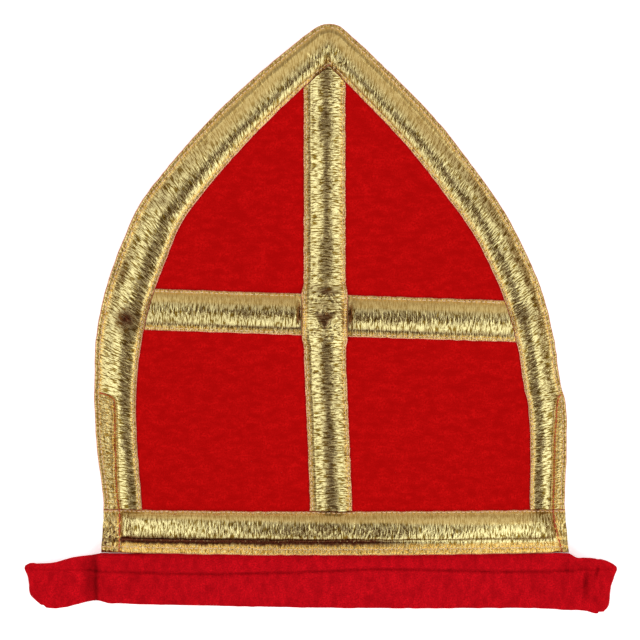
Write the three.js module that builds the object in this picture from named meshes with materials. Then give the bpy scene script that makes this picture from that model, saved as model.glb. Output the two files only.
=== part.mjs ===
// A bishop's mitre of red felt with padded gold trim, lying on its back.
// Two pointed felt panels are seamed together up their lower sides and stand free above the seams.
// Padded strips of gold cloth border both panels, bind their mouth edges and make the cross in front.
// A plush headband is sewn into the mouth, and its spare width lies folded out as an ear at each side.
// Millimetres. X runs across the mitre, Y from the mouth to the peak, Z up from the table.
import * as THREE from 'three';

// Driving dimensions
const HALF_WIDTH = 150.4; // from the middle of a panel to its widest side
const CORNER_HEIGHT = 342; // from the mouth edge to where the two sides would meet
const PEAK_RADIUS = 16; // rounding of the peak
const FELT = 1.8; // felt thickness
const GAP = 0.35; // clearance between sewn pieces

const MOUTH_RISE = 34; // height of the front panel's arch over the back panel at the mouth
const ARCH_FULLNESS = 2.2; // power of the arch: higher is flatter on top and steeper at the seams
const SEAM_EASE = 1.5; // softness of the bend at the seams
const PEAK_LIFT = 10; // how far the front peak stands clear of the back peak
const SEAM_HEIGHT = 102.5; // length of each side seam above the mouth
const SEAM_FADE = 55; // stretch above the seams over which their pinch dies out
const SEAM_MARGIN_LEFT = 11.5; // seam allowance outside the stitching
const SEAM_MARGIN_RIGHT = 8;

const TRIM_EDGE = 0.9; // thickness of a trim along its stitched edges
const TRIM_PUFF = 4.2; // thickness of a trim at the crown of its padding
const TRIM_MARGIN = 2; // flat stitched edge of a trim
const WIDE_MARGIN = 4.5; // flat edge along the upright's left and the crossbar's lower side
const BORDER_WIDTH = 25;
const BORDER_MARGIN = 3; // flat stitched edge round the outside of a border
const LOBE_EDGE = 1; // flat edge of the flatter padding outside a side seam
const LOBE = 0.4; // height of that padding as a share of the full puff
const UPRIGHT_WIDTH = 26.6;
const UPRIGHT_FOOT = 1; // place of the upright's foot beside the middle
const UPRIGHT_HEAD = -3.5; // place of the upright beside the middle from the crossing to the peak
const CROSSBAR_WIDTH = 26.4;
const CROSSBAR_HEIGHT = 151.5; // middle of the crossbar above the mouth edge
const CROSSBAR_SLOPE = -0.033; // fall of the crossbar towards the right
const CROSSING_PRESSED = 1.1; // thickness of the crossbar where the upright presses it
const CROSSING_RAMP = 6; // stretch over which a trim climbs or swells beside the crossing
const CROSSING_SPREAD = 1.6; // how far the upright spreads sideways over the crossbar
const MOUTH_TRIM_WIDTH = 27.5;
const BACK_PUFF = 2.2; // thickness of the back trims, pressed flat by the table

const BAND_DEPTH = 33; // headband showing below the mouth edge
const BAND_TUCK = 6; // headband hidden inside the mouth
const BAND_WALL = 2; // plush thickness
const HEM_WALL = 2.9; // thickness of the turned-up hem
const HEM_START = 11.5; // distance of the hem's upper edge from the mouth
const HEM_RAMP = 2; // stretch over which the hem thickens
const BAND_SOFTNESS = 2; // softness of the bend where the front of the band meets an ear
const BAND_SOFTENING = 8; // distance from the mouth over which that softness grows
const BAND_DROOP = 8; // how far the front of the band sinks towards its free edge
const BAND_SINK_START = 2.5; // distance from the mouth at which the back of the band starts to sink
const BAND_SINK = 13; // distance over which the back of the band comes down to the table
const EAR_LEFT = 49; // reach of each folded ear past the panels
const EAR_RIGHT = 31.5;
const EAR_CREVICE = 0.8; // air between the two layers of an ear
const BAND_EASE = 0.8; // air between the band and the panel over it
const PLEAT_STEP = 3; // height of the pleat where the left ear goes under the front

// Heights above the table
const BACK_FELT_UNDER = BACK_PUFF + GAP;
const BACK_FELT_TOP = BACK_FELT_UNDER + FELT;
const BED = BACK_FELT_TOP + GAP;

// Facets
const PANEL_ROWS = 20;
const PEAK_ROWS = 4;
const PANEL_COLUMNS = 16;
const COLUMN_CROWDING = 0.7;
const MOST_MARGIN = 0.1;
const BORDER_STEPS = 18;
const ARM_STEPS = 6;
const RAMP_STEPS = 3;
const ACROSS = 8;
const ACROSS_BACK = 4;
const BACK_STRIDE = 3;

// Panel outline: up is a share of CORNER_HEIGHT, left and right are shares of HALF_WIDTH, and leftTrim and
// rightTrim are the border's width there as shares of BORDER_WIDTH
const OUTLINE = [
  { up: 0, left: 0.972, right: 1.013, leftTrim: 1.06, rightTrim: 0.9 },
  { up: 0.09, left: 0.962, right: 0.997, leftTrim: 0.98, rightTrim: 0.9 },
  { up: 0.2, left: 0.991, right: 1.005, leftTrim: 1.04, rightTrim: 0.94 },
  { up: 0.28, left: 1.001, right: 1, leftTrim: 1.07, rightTrim: 0.97 },
  { up: 0.32, left: 1, right: 0.977, leftTrim: 1.09, rightTrim: 0.94 },
  { up: 0.4, left: 0.994, right: 0.95, leftTrim: 1.17, rightTrim: 0.96 },
  { up: 0.5, left: 0.947, right: 0.889, leftTrim: 1.21, rightTrim: 0.98 },
  { up: 0.6, left: 0.862, right: 0.785, leftTrim: 1.2, rightTrim: 0.97 },
  { up: 0.65, left: 0.808, right: 0.719, leftTrim: 1.18, rightTrim: 0.98 },
  { up: 0.7, left: 0.724, right: 0.64, leftTrim: 1.13, rightTrim: 1 },
  { up: 0.8, left: 0.526, right: 0.464, leftTrim: 1.1, rightTrim: 1.01 },
  { up: 0.9, left: 0.284, right: 0.243, leftTrim: 1.03, rightTrim: 0.98 },
  { up: 1, left: 0, right: 0, leftTrim: 0.93, rightTrim: 0.93 },
];

// The mouth trim's padding from the mouth edge up, as shares of TRIM_PUFF at its two ends: a flat lip, a
// groove and the crown
const MOUTH_SECTION = [
  { up: 0, left: 0.2, right: 0.2 },
  { up: 0.12, left: 0.27, right: 0.3 },
  { up: 0.22, left: 0.24, right: 0.33 },
  { up: 0.275, left: 0.14, right: 0.3 },
  { up: 0.33, left: 0.4, right: 0.5 },
  { up: 0.42, left: 0.62, right: 0.8 },
  { up: 0.55, left: 0.82, right: 0.97 },
  { up: 0.68, left: 0.97, right: 1 },
  { up: 0.78, left: 1, right: 0.85 },
  { up: 0.88, left: 0.75, right: 0.55 },
  { up: 0.95, left: 0.3, right: 0.25 },
  { up: 1, left: 0.2, right: 0.2 },
];

// Headband edges: at runs from -2 at the left ear's tip, over -1 and 1 at the panels' corners, to 2 at the
// right ear's tip. top and bottom are distances below the mouth edge, as shares of BAND_DEPTH.
const BAND_EDGES = [
  { at: -2, top: 0.2, bottom: 1.02 },
  { at: -1.9, top: 0.215, bottom: 1.07 },
  { at: -1.65, top: 0.19, bottom: 1.07 },
  { at: -1.4, top: 0.09, bottom: 1 },
  { at: -1.1, top: 0.04, bottom: 0.93 },
  { at: -1, top: 0.014, bottom: 0.935 },
  { at: -0.96, top: 0.012, bottom: 0.98 },
  { at: 0, top: 0.012, bottom: 1.028 },
  { at: 0.85, top: 0.012, bottom: 1.07 },
  { at: 1, top: 0.014, bottom: 1.115 },
  { at: 1.25, top: 0.095, bottom: 1.115 },
  { at: 1.5, top: 0.1, bottom: 1.13 },
  { at: 1.75, top: 0.11, bottom: 1.18 },
  { at: 2, top: 0.126, bottom: 1.15 },
];

// Ends of the two ears: down runs from their upper to their lower edge, left and right are shares of
// EAR_LEFT and EAR_RIGHT
const EAR_ENDS = [
  { down: 0, left: 0.93, right: 0.66 },
  { down: 0.06, left: 0.99, right: 0.85 },
  { down: 0.16, left: 1, right: 0.98 },
  { down: 0.35, left: 0.96, right: 0.93 },
  { down: 0.5, left: 0.945, right: 0.876 },
  { down: 0.75, left: 0.93, right: 0.84 },
  { down: 0.9, left: 0.855, right: 0.81 },
  { down: 1, left: 0.79, right: 0.72 },
];

const clamp = (value, low = 0, high = 1) => Math.min(high, Math.max(low, value));
const mix = (a, b, share) => a + (b - a) * share;
const ease = (value) => {
  const s = clamp(value);
  return s * s * (3 - 2 * s);
};

// Smooth curve through one column of a table, at a value of the key column
function curve(table, key, column, value) {
  const last = table.length - 1;
  const v = clamp(value, table[0][key], table[last][key]);
  let i = 0;
  while (i < last - 1 && v > table[i + 1][key]) i += 1;
  const slope = (j) => {
    const a = table[Math.max(j - 1, 0)];
    const b = table[Math.min(j + 1, last)];
    return (b[column] - a[column]) / (b[key] - a[key]);
  };
  const span = table[i + 1][key] - table[i][key];
  const s = (v - table[i][key]) / span;
  const rising = s * s * (3 - 2 * s);
  const start = s * (1 - s) * (1 - s) * slope(i) * span;
  const end = s * s * (s - 1) * slope(i + 1) * span;
  return mix(table[i][column], table[i + 1][column], rising) + start + end;
}

// Panel outline

const SIDES = {
  left: { sign: -1, column: 'left', trim: 'leftTrim', margin: SEAM_MARGIN_LEFT },
  right: { sign: 1, column: 'right', trim: 'rightTrim', margin: SEAM_MARGIN_RIGHT },
};

const widthAt = (side, y) => HALF_WIDTH * curve(OUTLINE, 'up', side.column, y / CORNER_HEIGHT);
const trimAt = (side, y) => BORDER_WIDTH * curve(OUTLINE, 'up', side.trim, y / CORNER_HEIGHT);

// The two sides as lists of points from below the mouth to the rounded peak, paired row by row
function outline() {
  const corner = new THREE.Vector2(0, CORNER_HEIGHT);
  const nearby = CORNER_HEIGHT - PEAK_RADIUS;
  const direction = (side) =>
    new THREE.Vector2(side.sign * widthAt(side, nearby), nearby).sub(corner).normalize();
  const a = direction(SIDES.left);
  const b = direction(SIDES.right);
  const half = Math.acos(clamp(a.dot(b), -1, 1)) / 2;
  const down = a.clone().add(b).normalize();
  const centre = corner.clone().addScaledVector(down, PEAK_RADIUS / Math.sin(half));
  const peak = centre.clone().addScaledVector(down, -PEAK_RADIUS);
  const points = {};
  for (const [name, along] of [['left', a], ['right', b]]) {
    const side = SIDES[name];
    const touch = corner.clone().addScaledVector(along, PEAK_RADIUS / Math.tan(half));
    const list = [new THREE.Vector2(side.sign * widthAt(side, 0), -BORDER_WIDTH)];
    for (let i = 0; i <= PANEL_ROWS; i += 1) {
      const y = (touch.y * i) / PANEL_ROWS;
      const lean = (touch.x * side.sign - widthAt(side, touch.y)) * (i / PANEL_ROWS) ** 4;
      list.push(new THREE.Vector2(side.sign * (widthAt(side, y) + lean), y));
    }
    const from = touch.clone().sub(centre).angle();
    const turn = peak.clone().sub(centre).angle() - from;
    for (let i = 1; i <= PEAK_ROWS; i += 1) {
      const angle = from + (turn * i) / PEAK_ROWS;
      list.push(new THREE.Vector2(Math.cos(angle), Math.sin(angle)).multiplyScalar(PEAK_RADIUS).add(centre));
    }
    points[name] = list;
  }
  return { ...points, peak, down };
}

const EDGE = outline();

// Points spaced evenly along a list of points
function resample(points, steps) {
  const lengths = [0];
  for (let i = 1; i < points.length; i += 1) {
    lengths.push(lengths[i - 1] + points[i].distanceTo(points[i - 1]));
  }
  const total = lengths[lengths.length - 1];
  const even = [];
  let i = 1;
  for (let k = 0; k <= steps; k += 1) {
    const at = (total * k) / steps;
    while (i < points.length - 1 && lengths[i] < at) i += 1;
    const share = (at - lengths[i - 1]) / (lengths[i] - lengths[i - 1]);
    even.push(points[i - 1].clone().lerp(points[i], share));
  }
  return even;
}

// One side of the outline moved inwards by a share of the border's width and a clearance, from a height
// above the mouth to the mitre line under the peak
function inset(name, share, clearance, height) {
  const list = EDGE[name];
  const side = SIDES[name];
  const sign = side.sign;
  const moved = list.map((point, i) => {
    const a = list[Math.max(i - 1, 0)];
    const b = list[Math.min(i + 1, list.length - 1)];
    const along = i === list.length - 1 ? EDGE.down : new THREE.Vector2(b.y - a.y, a.x - b.x).normalize();
    const inward = i === list.length - 1 ? along : along.multiplyScalar(-sign);
    return point.clone().addScaledVector(inward, share * trimAt(side, point.y) + clearance);
  });
  const beyond = (p) => sign * (EDGE.down.x * (p.y - EDGE.peak.y) - EDGE.down.y * (p.x - EDGE.peak.x));
  const kept = [];
  for (let i = 0; i < moved.length; i += 1) {
    const previous = moved[i - 1];
    if (previous && previous.y < height && moved[i].y >= height) {
      kept.push(previous.clone().lerp(moved[i], (height - previous.y) / (moved[i].y - previous.y)));
    }
    if (previous && beyond(moved[i]) <= 1e-6) {
      const share = beyond(previous) / (beyond(previous) - beyond(moved[i]));
      kept.push(previous.clone().lerp(moved[i], clamp(share)));
      break;
    }
    if (moved[i].y > height) kept.push(moved[i]);
  }
  return kept;
}

// Where a straight line at a height and slope meets the inner edge of the border
function innerEdgeX(name, heightAt) {
  const list = inset(name, 1, GAP, 0);
  for (let i = 1; i < list.length; i += 1) {
    const a = list[i - 1].y - heightAt(list[i - 1].x);
    const b = list[i].y - heightAt(list[i].x);
    if (a <= 0 && b > 0) return list[i - 1].clone().lerp(list[i], a / (a - b)).x;
  }
  return list[list.length - 1].x;
}

// Height at which a line up the panel meets the inner edge of the border near the peak
function innerEdgeY(lineX) {
  const inner = ['left', 'right'].map((name) => inset(name, 1, GAP, 0));
  const list = [...inner[0], ...inner[1].reverse()];
  for (let i = 1; i < list.length; i += 1) {
    const a = list[i - 1].x - lineX(list[i - 1].y);
    const b = list[i].x - lineX(list[i].y);
    if (list[i].y > CROSSBAR_HEIGHT && a <= 0 && b > 0) return list[i - 1].clone().lerp(list[i], a / (a - b)).y;
  }
  return inner[0][inner[0].length - 1].y;
}

// Heights of the cloth

// Seam allowance at a height, which dies out above the seams
function marginAt(side, y) {
  return side.margin * (1 - ease((y - SEAM_HEIGHT) / SEAM_FADE));
}

// Height of the arch over its feet at the seams, for an arch of a given height in the middle
function arch(x, y, height) {
  const side = x < 0 ? SIDES.left : SIDES.right;
  const open = Math.max(widthAt(side, y) - marginAt(side, y), FELT);
  const over = height * (1 - (Math.abs(x) / open) ** ARCH_FULLNESS);
  return (over + Math.hypot(over, SEAM_EASE)) / 2;
}

// Underside of the front panel
function frontUnder(x, y) {
  const up = clamp(y / CORNER_HEIGHT);
  const free = clamp((y - SEAM_HEIGHT) / (CORNER_HEIGHT - SEAM_HEIGHT));
  return BED + PEAK_LIFT * free ** 1.5 + arch(x, y, MOUTH_RISE * (1 - up) ** 1.15);
}

const frontTop = (x, y) => frontUnder(x, y) + FELT;

// Thickness of a padded strip at a distance from its first edge
function padded(distance, width, margin, endMargin) {
  const s = clamp((distance - margin) / (width - margin - endMargin));
  return TRIM_EDGE + (TRIM_PUFF - TRIM_EDGE) * Math.sin(Math.PI * s) ** 0.75;
}

// Thickness of a border, which the side seam pinches along its stitching
function borderPadding(distance, x, y) {
  const side = x < 0 ? SIDES.left : SIDES.right;
  const pinch = ease((SEAM_HEIGHT - y) / CROSSING_RAMP + 1);
  const stitch = mix(BORDER_MARGIN, side.margin, pinch);
  const lobe = Math.sin(Math.PI * clamp((distance - LOBE_EDGE) / (stitch - LOBE_EDGE)));
  const outer = lobe * (TRIM_PUFF - TRIM_EDGE) * LOBE * pinch;
  return padded(distance, BORDER_WIDTH, stitch, TRIM_MARGIN) + Math.max(0, outer);
}

// Meshes

function material(color, roughness, metalness) {
  return new THREE.MeshStandardMaterial({ color, roughness, metalness, side: THREE.FrontSide });
}

const FELT_RED = material('#b80508', 0.95, 0);
const PLUSH_RED = material('#c40a18', 0.9, 0);
const GOLD = material('#cfae5a', 0.35, 0.9);

function meshFrom(name, positions, faces, look) {
  const geometry = new THREE.BufferGeometry();
  geometry.setAttribute('position', new THREE.Float32BufferAttribute(positions.flatMap((p) => [p.x, p.y, p.z]), 3));
  geometry.setIndex(faces.flat());
  geometry.computeVertexNormals();
  const mesh = new THREE.Mesh(geometry, look);
  mesh.name = name;
  return mesh;
}

// A slab of cloth between two heights over a grid of plan points, rows running left to right
function slab(name, grid, low, high, look) {
  const rows = grid.length;
  const columns = grid[0].length;
  const positions = [];
  for (const height of [low, high]) {
    for (const row of grid) for (const p of row) positions.push(new THREE.Vector3(p.x, p.y, height(p)));
  }
  const under = (i, j) => i * columns + j;
  const over = (i, j) => rows * columns + i * columns + j;
  const faces = [];
  const quad = (a, b, c, d) => faces.push([a, b, c], [a, c, d]);
  for (let i = 0; i < rows - 1; i += 1) {
    for (let j = 0; j < columns - 1; j += 1) {
      quad(over(i, j), over(i, j + 1), over(i + 1, j + 1), over(i + 1, j));
      quad(under(i, j), under(i + 1, j), under(i + 1, j + 1), under(i, j + 1));
    }
    quad(under(i, 0), over(i, 0), over(i + 1, 0), under(i + 1, 0));
    quad(under(i, columns - 1), under(i + 1, columns - 1), over(i + 1, columns - 1), over(i, columns - 1));
  }
  for (let j = 0; j < columns - 1; j += 1) {
    quad(under(0, j), under(0, j + 1), over(0, j + 1), over(0, j));
    quad(under(rows - 1, j), over(rows - 1, j), over(rows - 1, j + 1), under(rows - 1, j + 1));
  }
  return meshFrom(name, positions, faces, look);
}

// Felt panels

// Places across a panel, with one on each seam and closer ones beside it, where the arch bends most
function acrossShares(width) {
  const left = Math.min(SIDES.left.margin / width, MOST_MARGIN);
  const right = Math.min(SIDES.right.margin / width, MOST_MARGIN);
  const shares = [0, left / 2];
  for (let j = 0; j <= PANEL_COLUMNS; j += 1) {
    const even = j / PANEL_COLUMNS;
    const crowded = (1 - Math.cos(Math.PI * even)) / 2;
    shares.push(mix(left, 1 - right, mix(even, crowded, COLUMN_CROWDING)));
  }
  return [...shares, 1 - right / 2, 1];
}

function across(left, right) {
  return acrossShares(left.distanceTo(right)).map((share) => left.clone().lerp(right, share));
}

function panelGrid() {
  const rows = EDGE.left.map((left, i) => across(left, EDGE.right[i]));
  return rows.slice(1, -1);
}

function frontPanel() {
  return slab('front_panel', panelGrid(), (p) => frontUnder(p.x, p.y), (p) => frontTop(p.x, p.y), FELT_RED);
}

function backPanel() {
  const rows = EDGE.left.map((left, i) => [left, EDGE.right[i]]);
  return slab('back_panel', rows.slice(1, -1), () => BACK_FELT_UNDER, () => BACK_FELT_TOP, FELT_RED);
}

// Gold trims

// Plan grid of a border: up the left side, round the peak along the mitre line, and down the right side
function borderGrid(steps) {
  const rows = [];
  for (let k = 0; k <= steps; k += 1) {
    const distance = (BORDER_WIDTH * k) / steps;
    const [left, right] = ['left', 'right'].map((name) =>
      resample(inset(name, k / steps, 0, MOUTH_TRIM_WIDTH + GAP), BORDER_STEPS));
    const mitre = left[BORDER_STEPS].clone().lerp(right[BORDER_STEPS], 0.5);
    const row = [...left.slice(0, -1), mitre, ...right.slice(0, -1).reverse()];
    rows.push(row.map((p) => Object.assign(p, { distance })));
  }
  return rows.reverse();
}

function frontBorder() {
  const low = (p) => frontTop(p.x, p.y) + GAP;
  return slab('front_border', borderGrid(ACROSS), low, (p) => low(p) + borderPadding(p.distance, p.x, p.y), GOLD);
}

function backBorder() {
  const high = BACK_FELT_UNDER - GAP;
  const low = (p) => high - Math.min(BACK_PUFF, borderPadding(p.distance, p.x, p.y));
  return slab('back_border', borderGrid(ACROSS_BACK), low, () => high, GOLD);
}

// Middle of the upright and of the crossbar
const uprightX = (y) => mix(UPRIGHT_FOOT, UPRIGHT_HEAD, ease(y / CROSSBAR_HEIGHT));
const crossbarY = (x) => CROSSBAR_HEIGHT + CROSSBAR_SLOPE * x;

// Nearness to the crossing: 1 over the other trim's width, falling to 0 across the ramp
const crossing = (distance, width) => 1 - ease((Math.abs(distance) - width / 2 - GAP) / CROSSING_RAMP);

// Places along a strip: even steps up to the crossing, closer ones over its ramps, and even steps beyond
function stations(from, to, centre, half) {
  const stops = [from, centre - half - CROSSING_RAMP, centre - half, centre, centre + half,
    centre + half + CROSSING_RAMP, to];
  const steps = [ARM_STEPS, RAMP_STEPS, 1, 1, RAMP_STEPS, ARM_STEPS];
  const places = [from];
  steps.forEach((count, i) => {
    for (let k = 1; k <= count; k += 1) places.push(mix(stops[i], stops[i + 1], k / count));
  });
  return places;
}

function crossbar() {
  const grid = [];
  for (let k = 0; k <= ACROSS; k += 1) {
    const offset = CROSSBAR_WIDTH * (k / ACROSS - 0.5);
    const line = (x) => crossbarY(x) + offset;
    const places = stations(innerEdgeX('left', line), innerEdgeX('right', line), uprightX(line(0)),
      UPRIGHT_WIDTH / 2 + CROSSING_SPREAD + GAP);
    grid.push(places.map((x) =>
      Object.assign(new THREE.Vector2(x, line(x)), { distance: offset + CROSSBAR_WIDTH / 2 })));
  }
  const low = (p) => frontTop(p.x, p.y) + GAP;
  const thickness = (p) => {
    const free = padded(p.distance, CROSSBAR_WIDTH, WIDE_MARGIN, TRIM_MARGIN);
    const pressed = Math.min(CROSSING_PRESSED, free);
    return mix(free, pressed, crossing(p.x - uprightX(p.y), UPRIGHT_WIDTH + 2 * CROSSING_SPREAD));
  };
  return slab('front_crossbar', grid, low, (p) => low(p) + thickness(p), GOLD);
}

function upright() {
  const foot = MOUTH_TRIM_WIDTH + GAP;
  const columns = [];
  for (let k = 0; k <= ACROSS; k += 1) {
    const share = k / ACROSS - 0.5;
    const lineX = (y) => {
      const spread = CROSSING_SPREAD * crossing(y - crossbarY(0), CROSSBAR_WIDTH);
      return uprightX(y) + share * (UPRIGHT_WIDTH + 2 * spread);
    };
    const distance = (share + 0.5) * UPRIGHT_WIDTH;
    const places = stations(foot, innerEdgeY(lineX), crossbarY(lineX(CROSSBAR_HEIGHT)), CROSSBAR_WIDTH / 2 + GAP);
    columns.push(places.map((y) => Object.assign(new THREE.Vector2(lineX(y), y), { distance })));
  }
  const grid = columns[0].map((_, j) => columns.map((column) => column[j]));
  const climb = CROSSING_PRESSED + GAP;
  const low = (p) => frontTop(p.x, p.y) + GAP + climb * crossing(p.y - crossbarY(p.x), CROSSBAR_WIDTH);
  const high = (p) => low(p) + padded(p.distance, UPRIGHT_WIDTH, WIDE_MARGIN, TRIM_MARGIN);
  return slab('front_upright', grid, low, high, GOLD);
}

// The strip along a mouth edge, with a row for each row of its section or for every few
function mouthTrimGrid(stride) {
  const last = MOUTH_SECTION.length - 1;
  const rows = MOUTH_SECTION.filter((_, i) => i % stride === 0 || i === last);
  const at = (side, y) => new THREE.Vector2(side.sign * widthAt(side, y), y);
  return rows.map(({ up }) => up * MOUTH_TRIM_WIDTH).map((y) => across(at(SIDES.left, y), at(SIDES.right, y)));
}

function mouthPadding(x, y) {
  const side = x < 0 ? SIDES.left : SIDES.right;
  const inside = ease((widthAt(side, y) - Math.abs(x) - side.margin) / CROSSING_RAMP);
  const section = (column) => TRIM_PUFF * curve(MOUTH_SECTION, 'up', column, y / MOUTH_TRIM_WIDTH);
  const crown = mix(section('left'), section('right'), ease(0.5 + x / (2 * HALF_WIDTH)));
  const flatter = Math.min(crown, TRIM_EDGE + LOBE * Math.max(crown - TRIM_EDGE, 0));
  return mix(flatter, crown, inside);
}

function frontMouthTrim() {
  const low = (p) => frontTop(p.x, p.y) + GAP;
  return slab('front_mouth_trim', mouthTrimGrid(1), low, (p) => low(p) + mouthPadding(p.x, p.y), GOLD);
}

function backMouthTrim() {
  const high = BACK_FELT_UNDER - GAP;
  const low = (p) => high - Math.min(BACK_PUFF, mouthPadding(p.x, p.y));
  return slab('back_mouth_trim', mouthTrimGrid(BACK_STRIDE), low, () => high, GOLD);
}

// Headband

const TUCK_END = 0.66; // share of the half width over which the band is sewn inside the mouth
const TUCK_FADE = 0.06;
const BAND_SPOTS = [-1.8, -1.6, -1.4, -1.24, -1.14, -1.1, -1.06, -1, -0.94, -0.87, -0.8, -0.72, -0.66, -0.55, -0.42,
  -0.28, -0.14, 0, 0.14, 0.28, 0.42, 0.55, 0.66, 0.72, 0.8, 0.87, 0.94, 1, 1.1, 1.3, 1.5, 1.7];
const BAND_ROWS = [0, 0.09, 0.17, 0.28, 0.36, 0.42, 0.48, 0.64, 0.82, 1];
const PLEAT_START = -1.14; // place where the front starts to fold over the left ear
const PLEAT_RISE = 0.08; // stretch over which the pleat rises
const PLEAT_END = -0.72; // place where it has died out
const PLEAT_FALL = 0.3; // stretch over which it falls
const FOLD_STEPS = 4;

// Where the band lies in plan: at as in BAND_EDGES, down from its upper to its lower edge
function bandPlan(at, down) {
  const side = at < 0 ? SIDES.left : SIDES.right;
  const body = widthAt(side, 0);
  const reach = at < 0 ? EAR_LEFT : EAR_RIGHT;
  const ear = Math.max(Math.abs(at) - 1, 0) * reach * curve(EAR_ENDS, 'down', side.column, down);
  const tucked = 1 - ease((Math.abs(at) - TUCK_END) / TUCK_FADE);
  const top = mix(-BAND_DEPTH * curve(BAND_EDGES, 'at', 'top', at), BAND_TUCK, tucked);
  const bottom = -BAND_DEPTH * curve(BAND_EDGES, 'at', 'bottom', at);
  return new THREE.Vector2(side.sign * (Math.min(Math.abs(at), 1) * body + ear), mix(top, bottom, down));
}

const bandWall = (y) => mix(BAND_WALL, HEM_WALL, ease((-y - HEM_START) / HEM_RAMP));
const bandFloor = (y) => BED * (1 - ease((-y - BAND_SINK_START) / BAND_SINK));

// Upper face of the front of the band
function bandTop(at, p) {
  const folded = bandFloor(p.y) + 2 * bandWall(p.y) + EAR_CREVICE;
  if (Math.abs(at) >= 1) return folded + pleat(at, p.y);
  const sag = ease(-p.y / BAND_DEPTH) * arch(p.x, 0, BAND_DROOP);
  const over = frontUnder(p.x, Math.max(p.y, 0)) - BAND_EASE - sag - folded;
  const soft = BAND_SOFTNESS * ease(-p.y / BAND_SOFTENING);
  return folded + (over + Math.sqrt(over * over + soft * soft)) / 2 + pleat(at, p.y);
}

// Extra height where the front folds over the left ear
function pleat(at, y) {
  const rise = ease((at - PLEAT_START) / PLEAT_RISE);
  const fall = ease((PLEAT_END - at) / PLEAT_FALL);
  return PLEAT_STEP * rise * fall * ease(-y / BAND_WALL);
}

function headband() {
  const loops = [];
  const add = (outer, inner) => loops.push({ outer, inner });
  const wallColumn = (at, front) => {
    const outer = [];
    const inner = [];
    for (const down of BAND_ROWS) {
      const p = bandPlan(at, down);
      const face = front ? bandTop(at, p) : bandFloor(p.y);
      const inside = front ? face - bandWall(p.y) : face + bandWall(p.y);
      outer.push(new THREE.Vector3(p.x, p.y, face));
      inner.push(new THREE.Vector3(p.x, p.y, inside));
    }
    add(outer, inner);
  };
  const fold = (at) => {
    const sign = Math.sign(at);
    for (let k = 0; k <= FOLD_STEPS; k += 1) {
      const angle = -Math.PI / 2 + (Math.PI * k) / FOLD_STEPS;
      const turn = sign > 0 ? angle : -angle;
      const outer = [];
      const inner = [];
      for (const down of BAND_ROWS) {
        const p = bandPlan(at, down);
        const radius = bandWall(p.y) + EAR_CREVICE / 2;
        const middle = bandFloor(p.y) + radius;
        const x = p.x - sign * radius;
        outer.push(new THREE.Vector3(x + sign * radius * Math.cos(turn), p.y, middle + radius * Math.sin(turn)));
        const small = EAR_CREVICE / 2;
        inner.push(new THREE.Vector3(x + sign * small * Math.cos(turn), p.y, middle + small * Math.sin(turn)));
      }
      add(outer, inner);
    }
  };
  for (const at of BAND_SPOTS) wallColumn(at, false);
  fold(2);
  for (const at of [...BAND_SPOTS].reverse()) wallColumn(at, true);
  fold(-2);

  const rows = BAND_ROWS.length;
  const positions = loops.flatMap((loop) => [...loop.outer, ...loop.inner]);
  const outer = (i, j) => (i % loops.length) * rows * 2 + j;
  const inner = (i, j) => outer(i, j) + rows;
  const faces = [];
  const quad = (a, b, c, d) => faces.push([a, c, b], [a, d, c]);
  for (let i = 0; i < loops.length; i += 1) {
    for (let j = 0; j < rows - 1; j += 1) {
      quad(outer(i, j), outer(i, j + 1), outer(i + 1, j + 1), outer(i + 1, j));
      quad(inner(i, j), inner(i + 1, j), inner(i + 1, j + 1), inner(i, j + 1));
    }
    quad(outer(i, 0), outer(i + 1, 0), inner(i + 1, 0), inner(i, 0));
    quad(outer(i, rows - 1), inner(i, rows - 1), inner(i + 1, rows - 1), outer(i + 1, rows - 1));
  }
  return meshFrom('headband', positions, faces, PLUSH_RED);
}

// The mitre lies on the table with the middle of its outline over the origin
const mitre = new THREE.Group();
mitre.add(
  frontPanel(), backPanel(),
  frontBorder(), crossbar(), upright(), frontMouthTrim(),
  backBorder(), backMouthTrim(),
  headband(),
);
const box = new THREE.Box3().setFromObject(mitre);
const middle = box.getCenter(new THREE.Vector3());
mitre.position.set(-middle.x, -middle.y, -box.min.z);
mitre.updateMatrixWorld(true);

export default mitre;
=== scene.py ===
"""A bishop's mitre of red felt with padded gold trim, lying on its back on a white table.

Sizes are in metres. The forms are worked out in the mitre's own axes: x across it, y from the mouth
edge to the peak and z up from the table. place() then sets them into the frame.
"""
import math

import bpy
import numpy as np
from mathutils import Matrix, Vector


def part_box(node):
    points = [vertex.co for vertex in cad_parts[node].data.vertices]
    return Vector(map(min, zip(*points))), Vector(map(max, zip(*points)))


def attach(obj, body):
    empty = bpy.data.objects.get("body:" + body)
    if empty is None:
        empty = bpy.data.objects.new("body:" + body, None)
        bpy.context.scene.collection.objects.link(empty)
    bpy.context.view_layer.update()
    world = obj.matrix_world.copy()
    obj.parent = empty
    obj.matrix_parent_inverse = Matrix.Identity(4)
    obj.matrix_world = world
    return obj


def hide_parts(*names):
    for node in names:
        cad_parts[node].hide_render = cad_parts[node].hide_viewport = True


bl_info = {
    "name": "Bishop's mitre",
    "version": (1, 0, 0),
    "blender": (4, 5, 0),
    "location": "View3D > Sidebar > Mitre",
    "description": "Dresses the mitre's felt, padded gold trim, stitching and plush headband",
    "category": "Object",
}

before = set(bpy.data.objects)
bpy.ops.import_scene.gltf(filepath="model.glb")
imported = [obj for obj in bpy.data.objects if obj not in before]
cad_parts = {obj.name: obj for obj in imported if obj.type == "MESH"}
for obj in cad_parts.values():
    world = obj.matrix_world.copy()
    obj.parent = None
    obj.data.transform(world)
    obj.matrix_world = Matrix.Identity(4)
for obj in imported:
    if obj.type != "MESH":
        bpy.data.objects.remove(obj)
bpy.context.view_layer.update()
MM = 0.001

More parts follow.
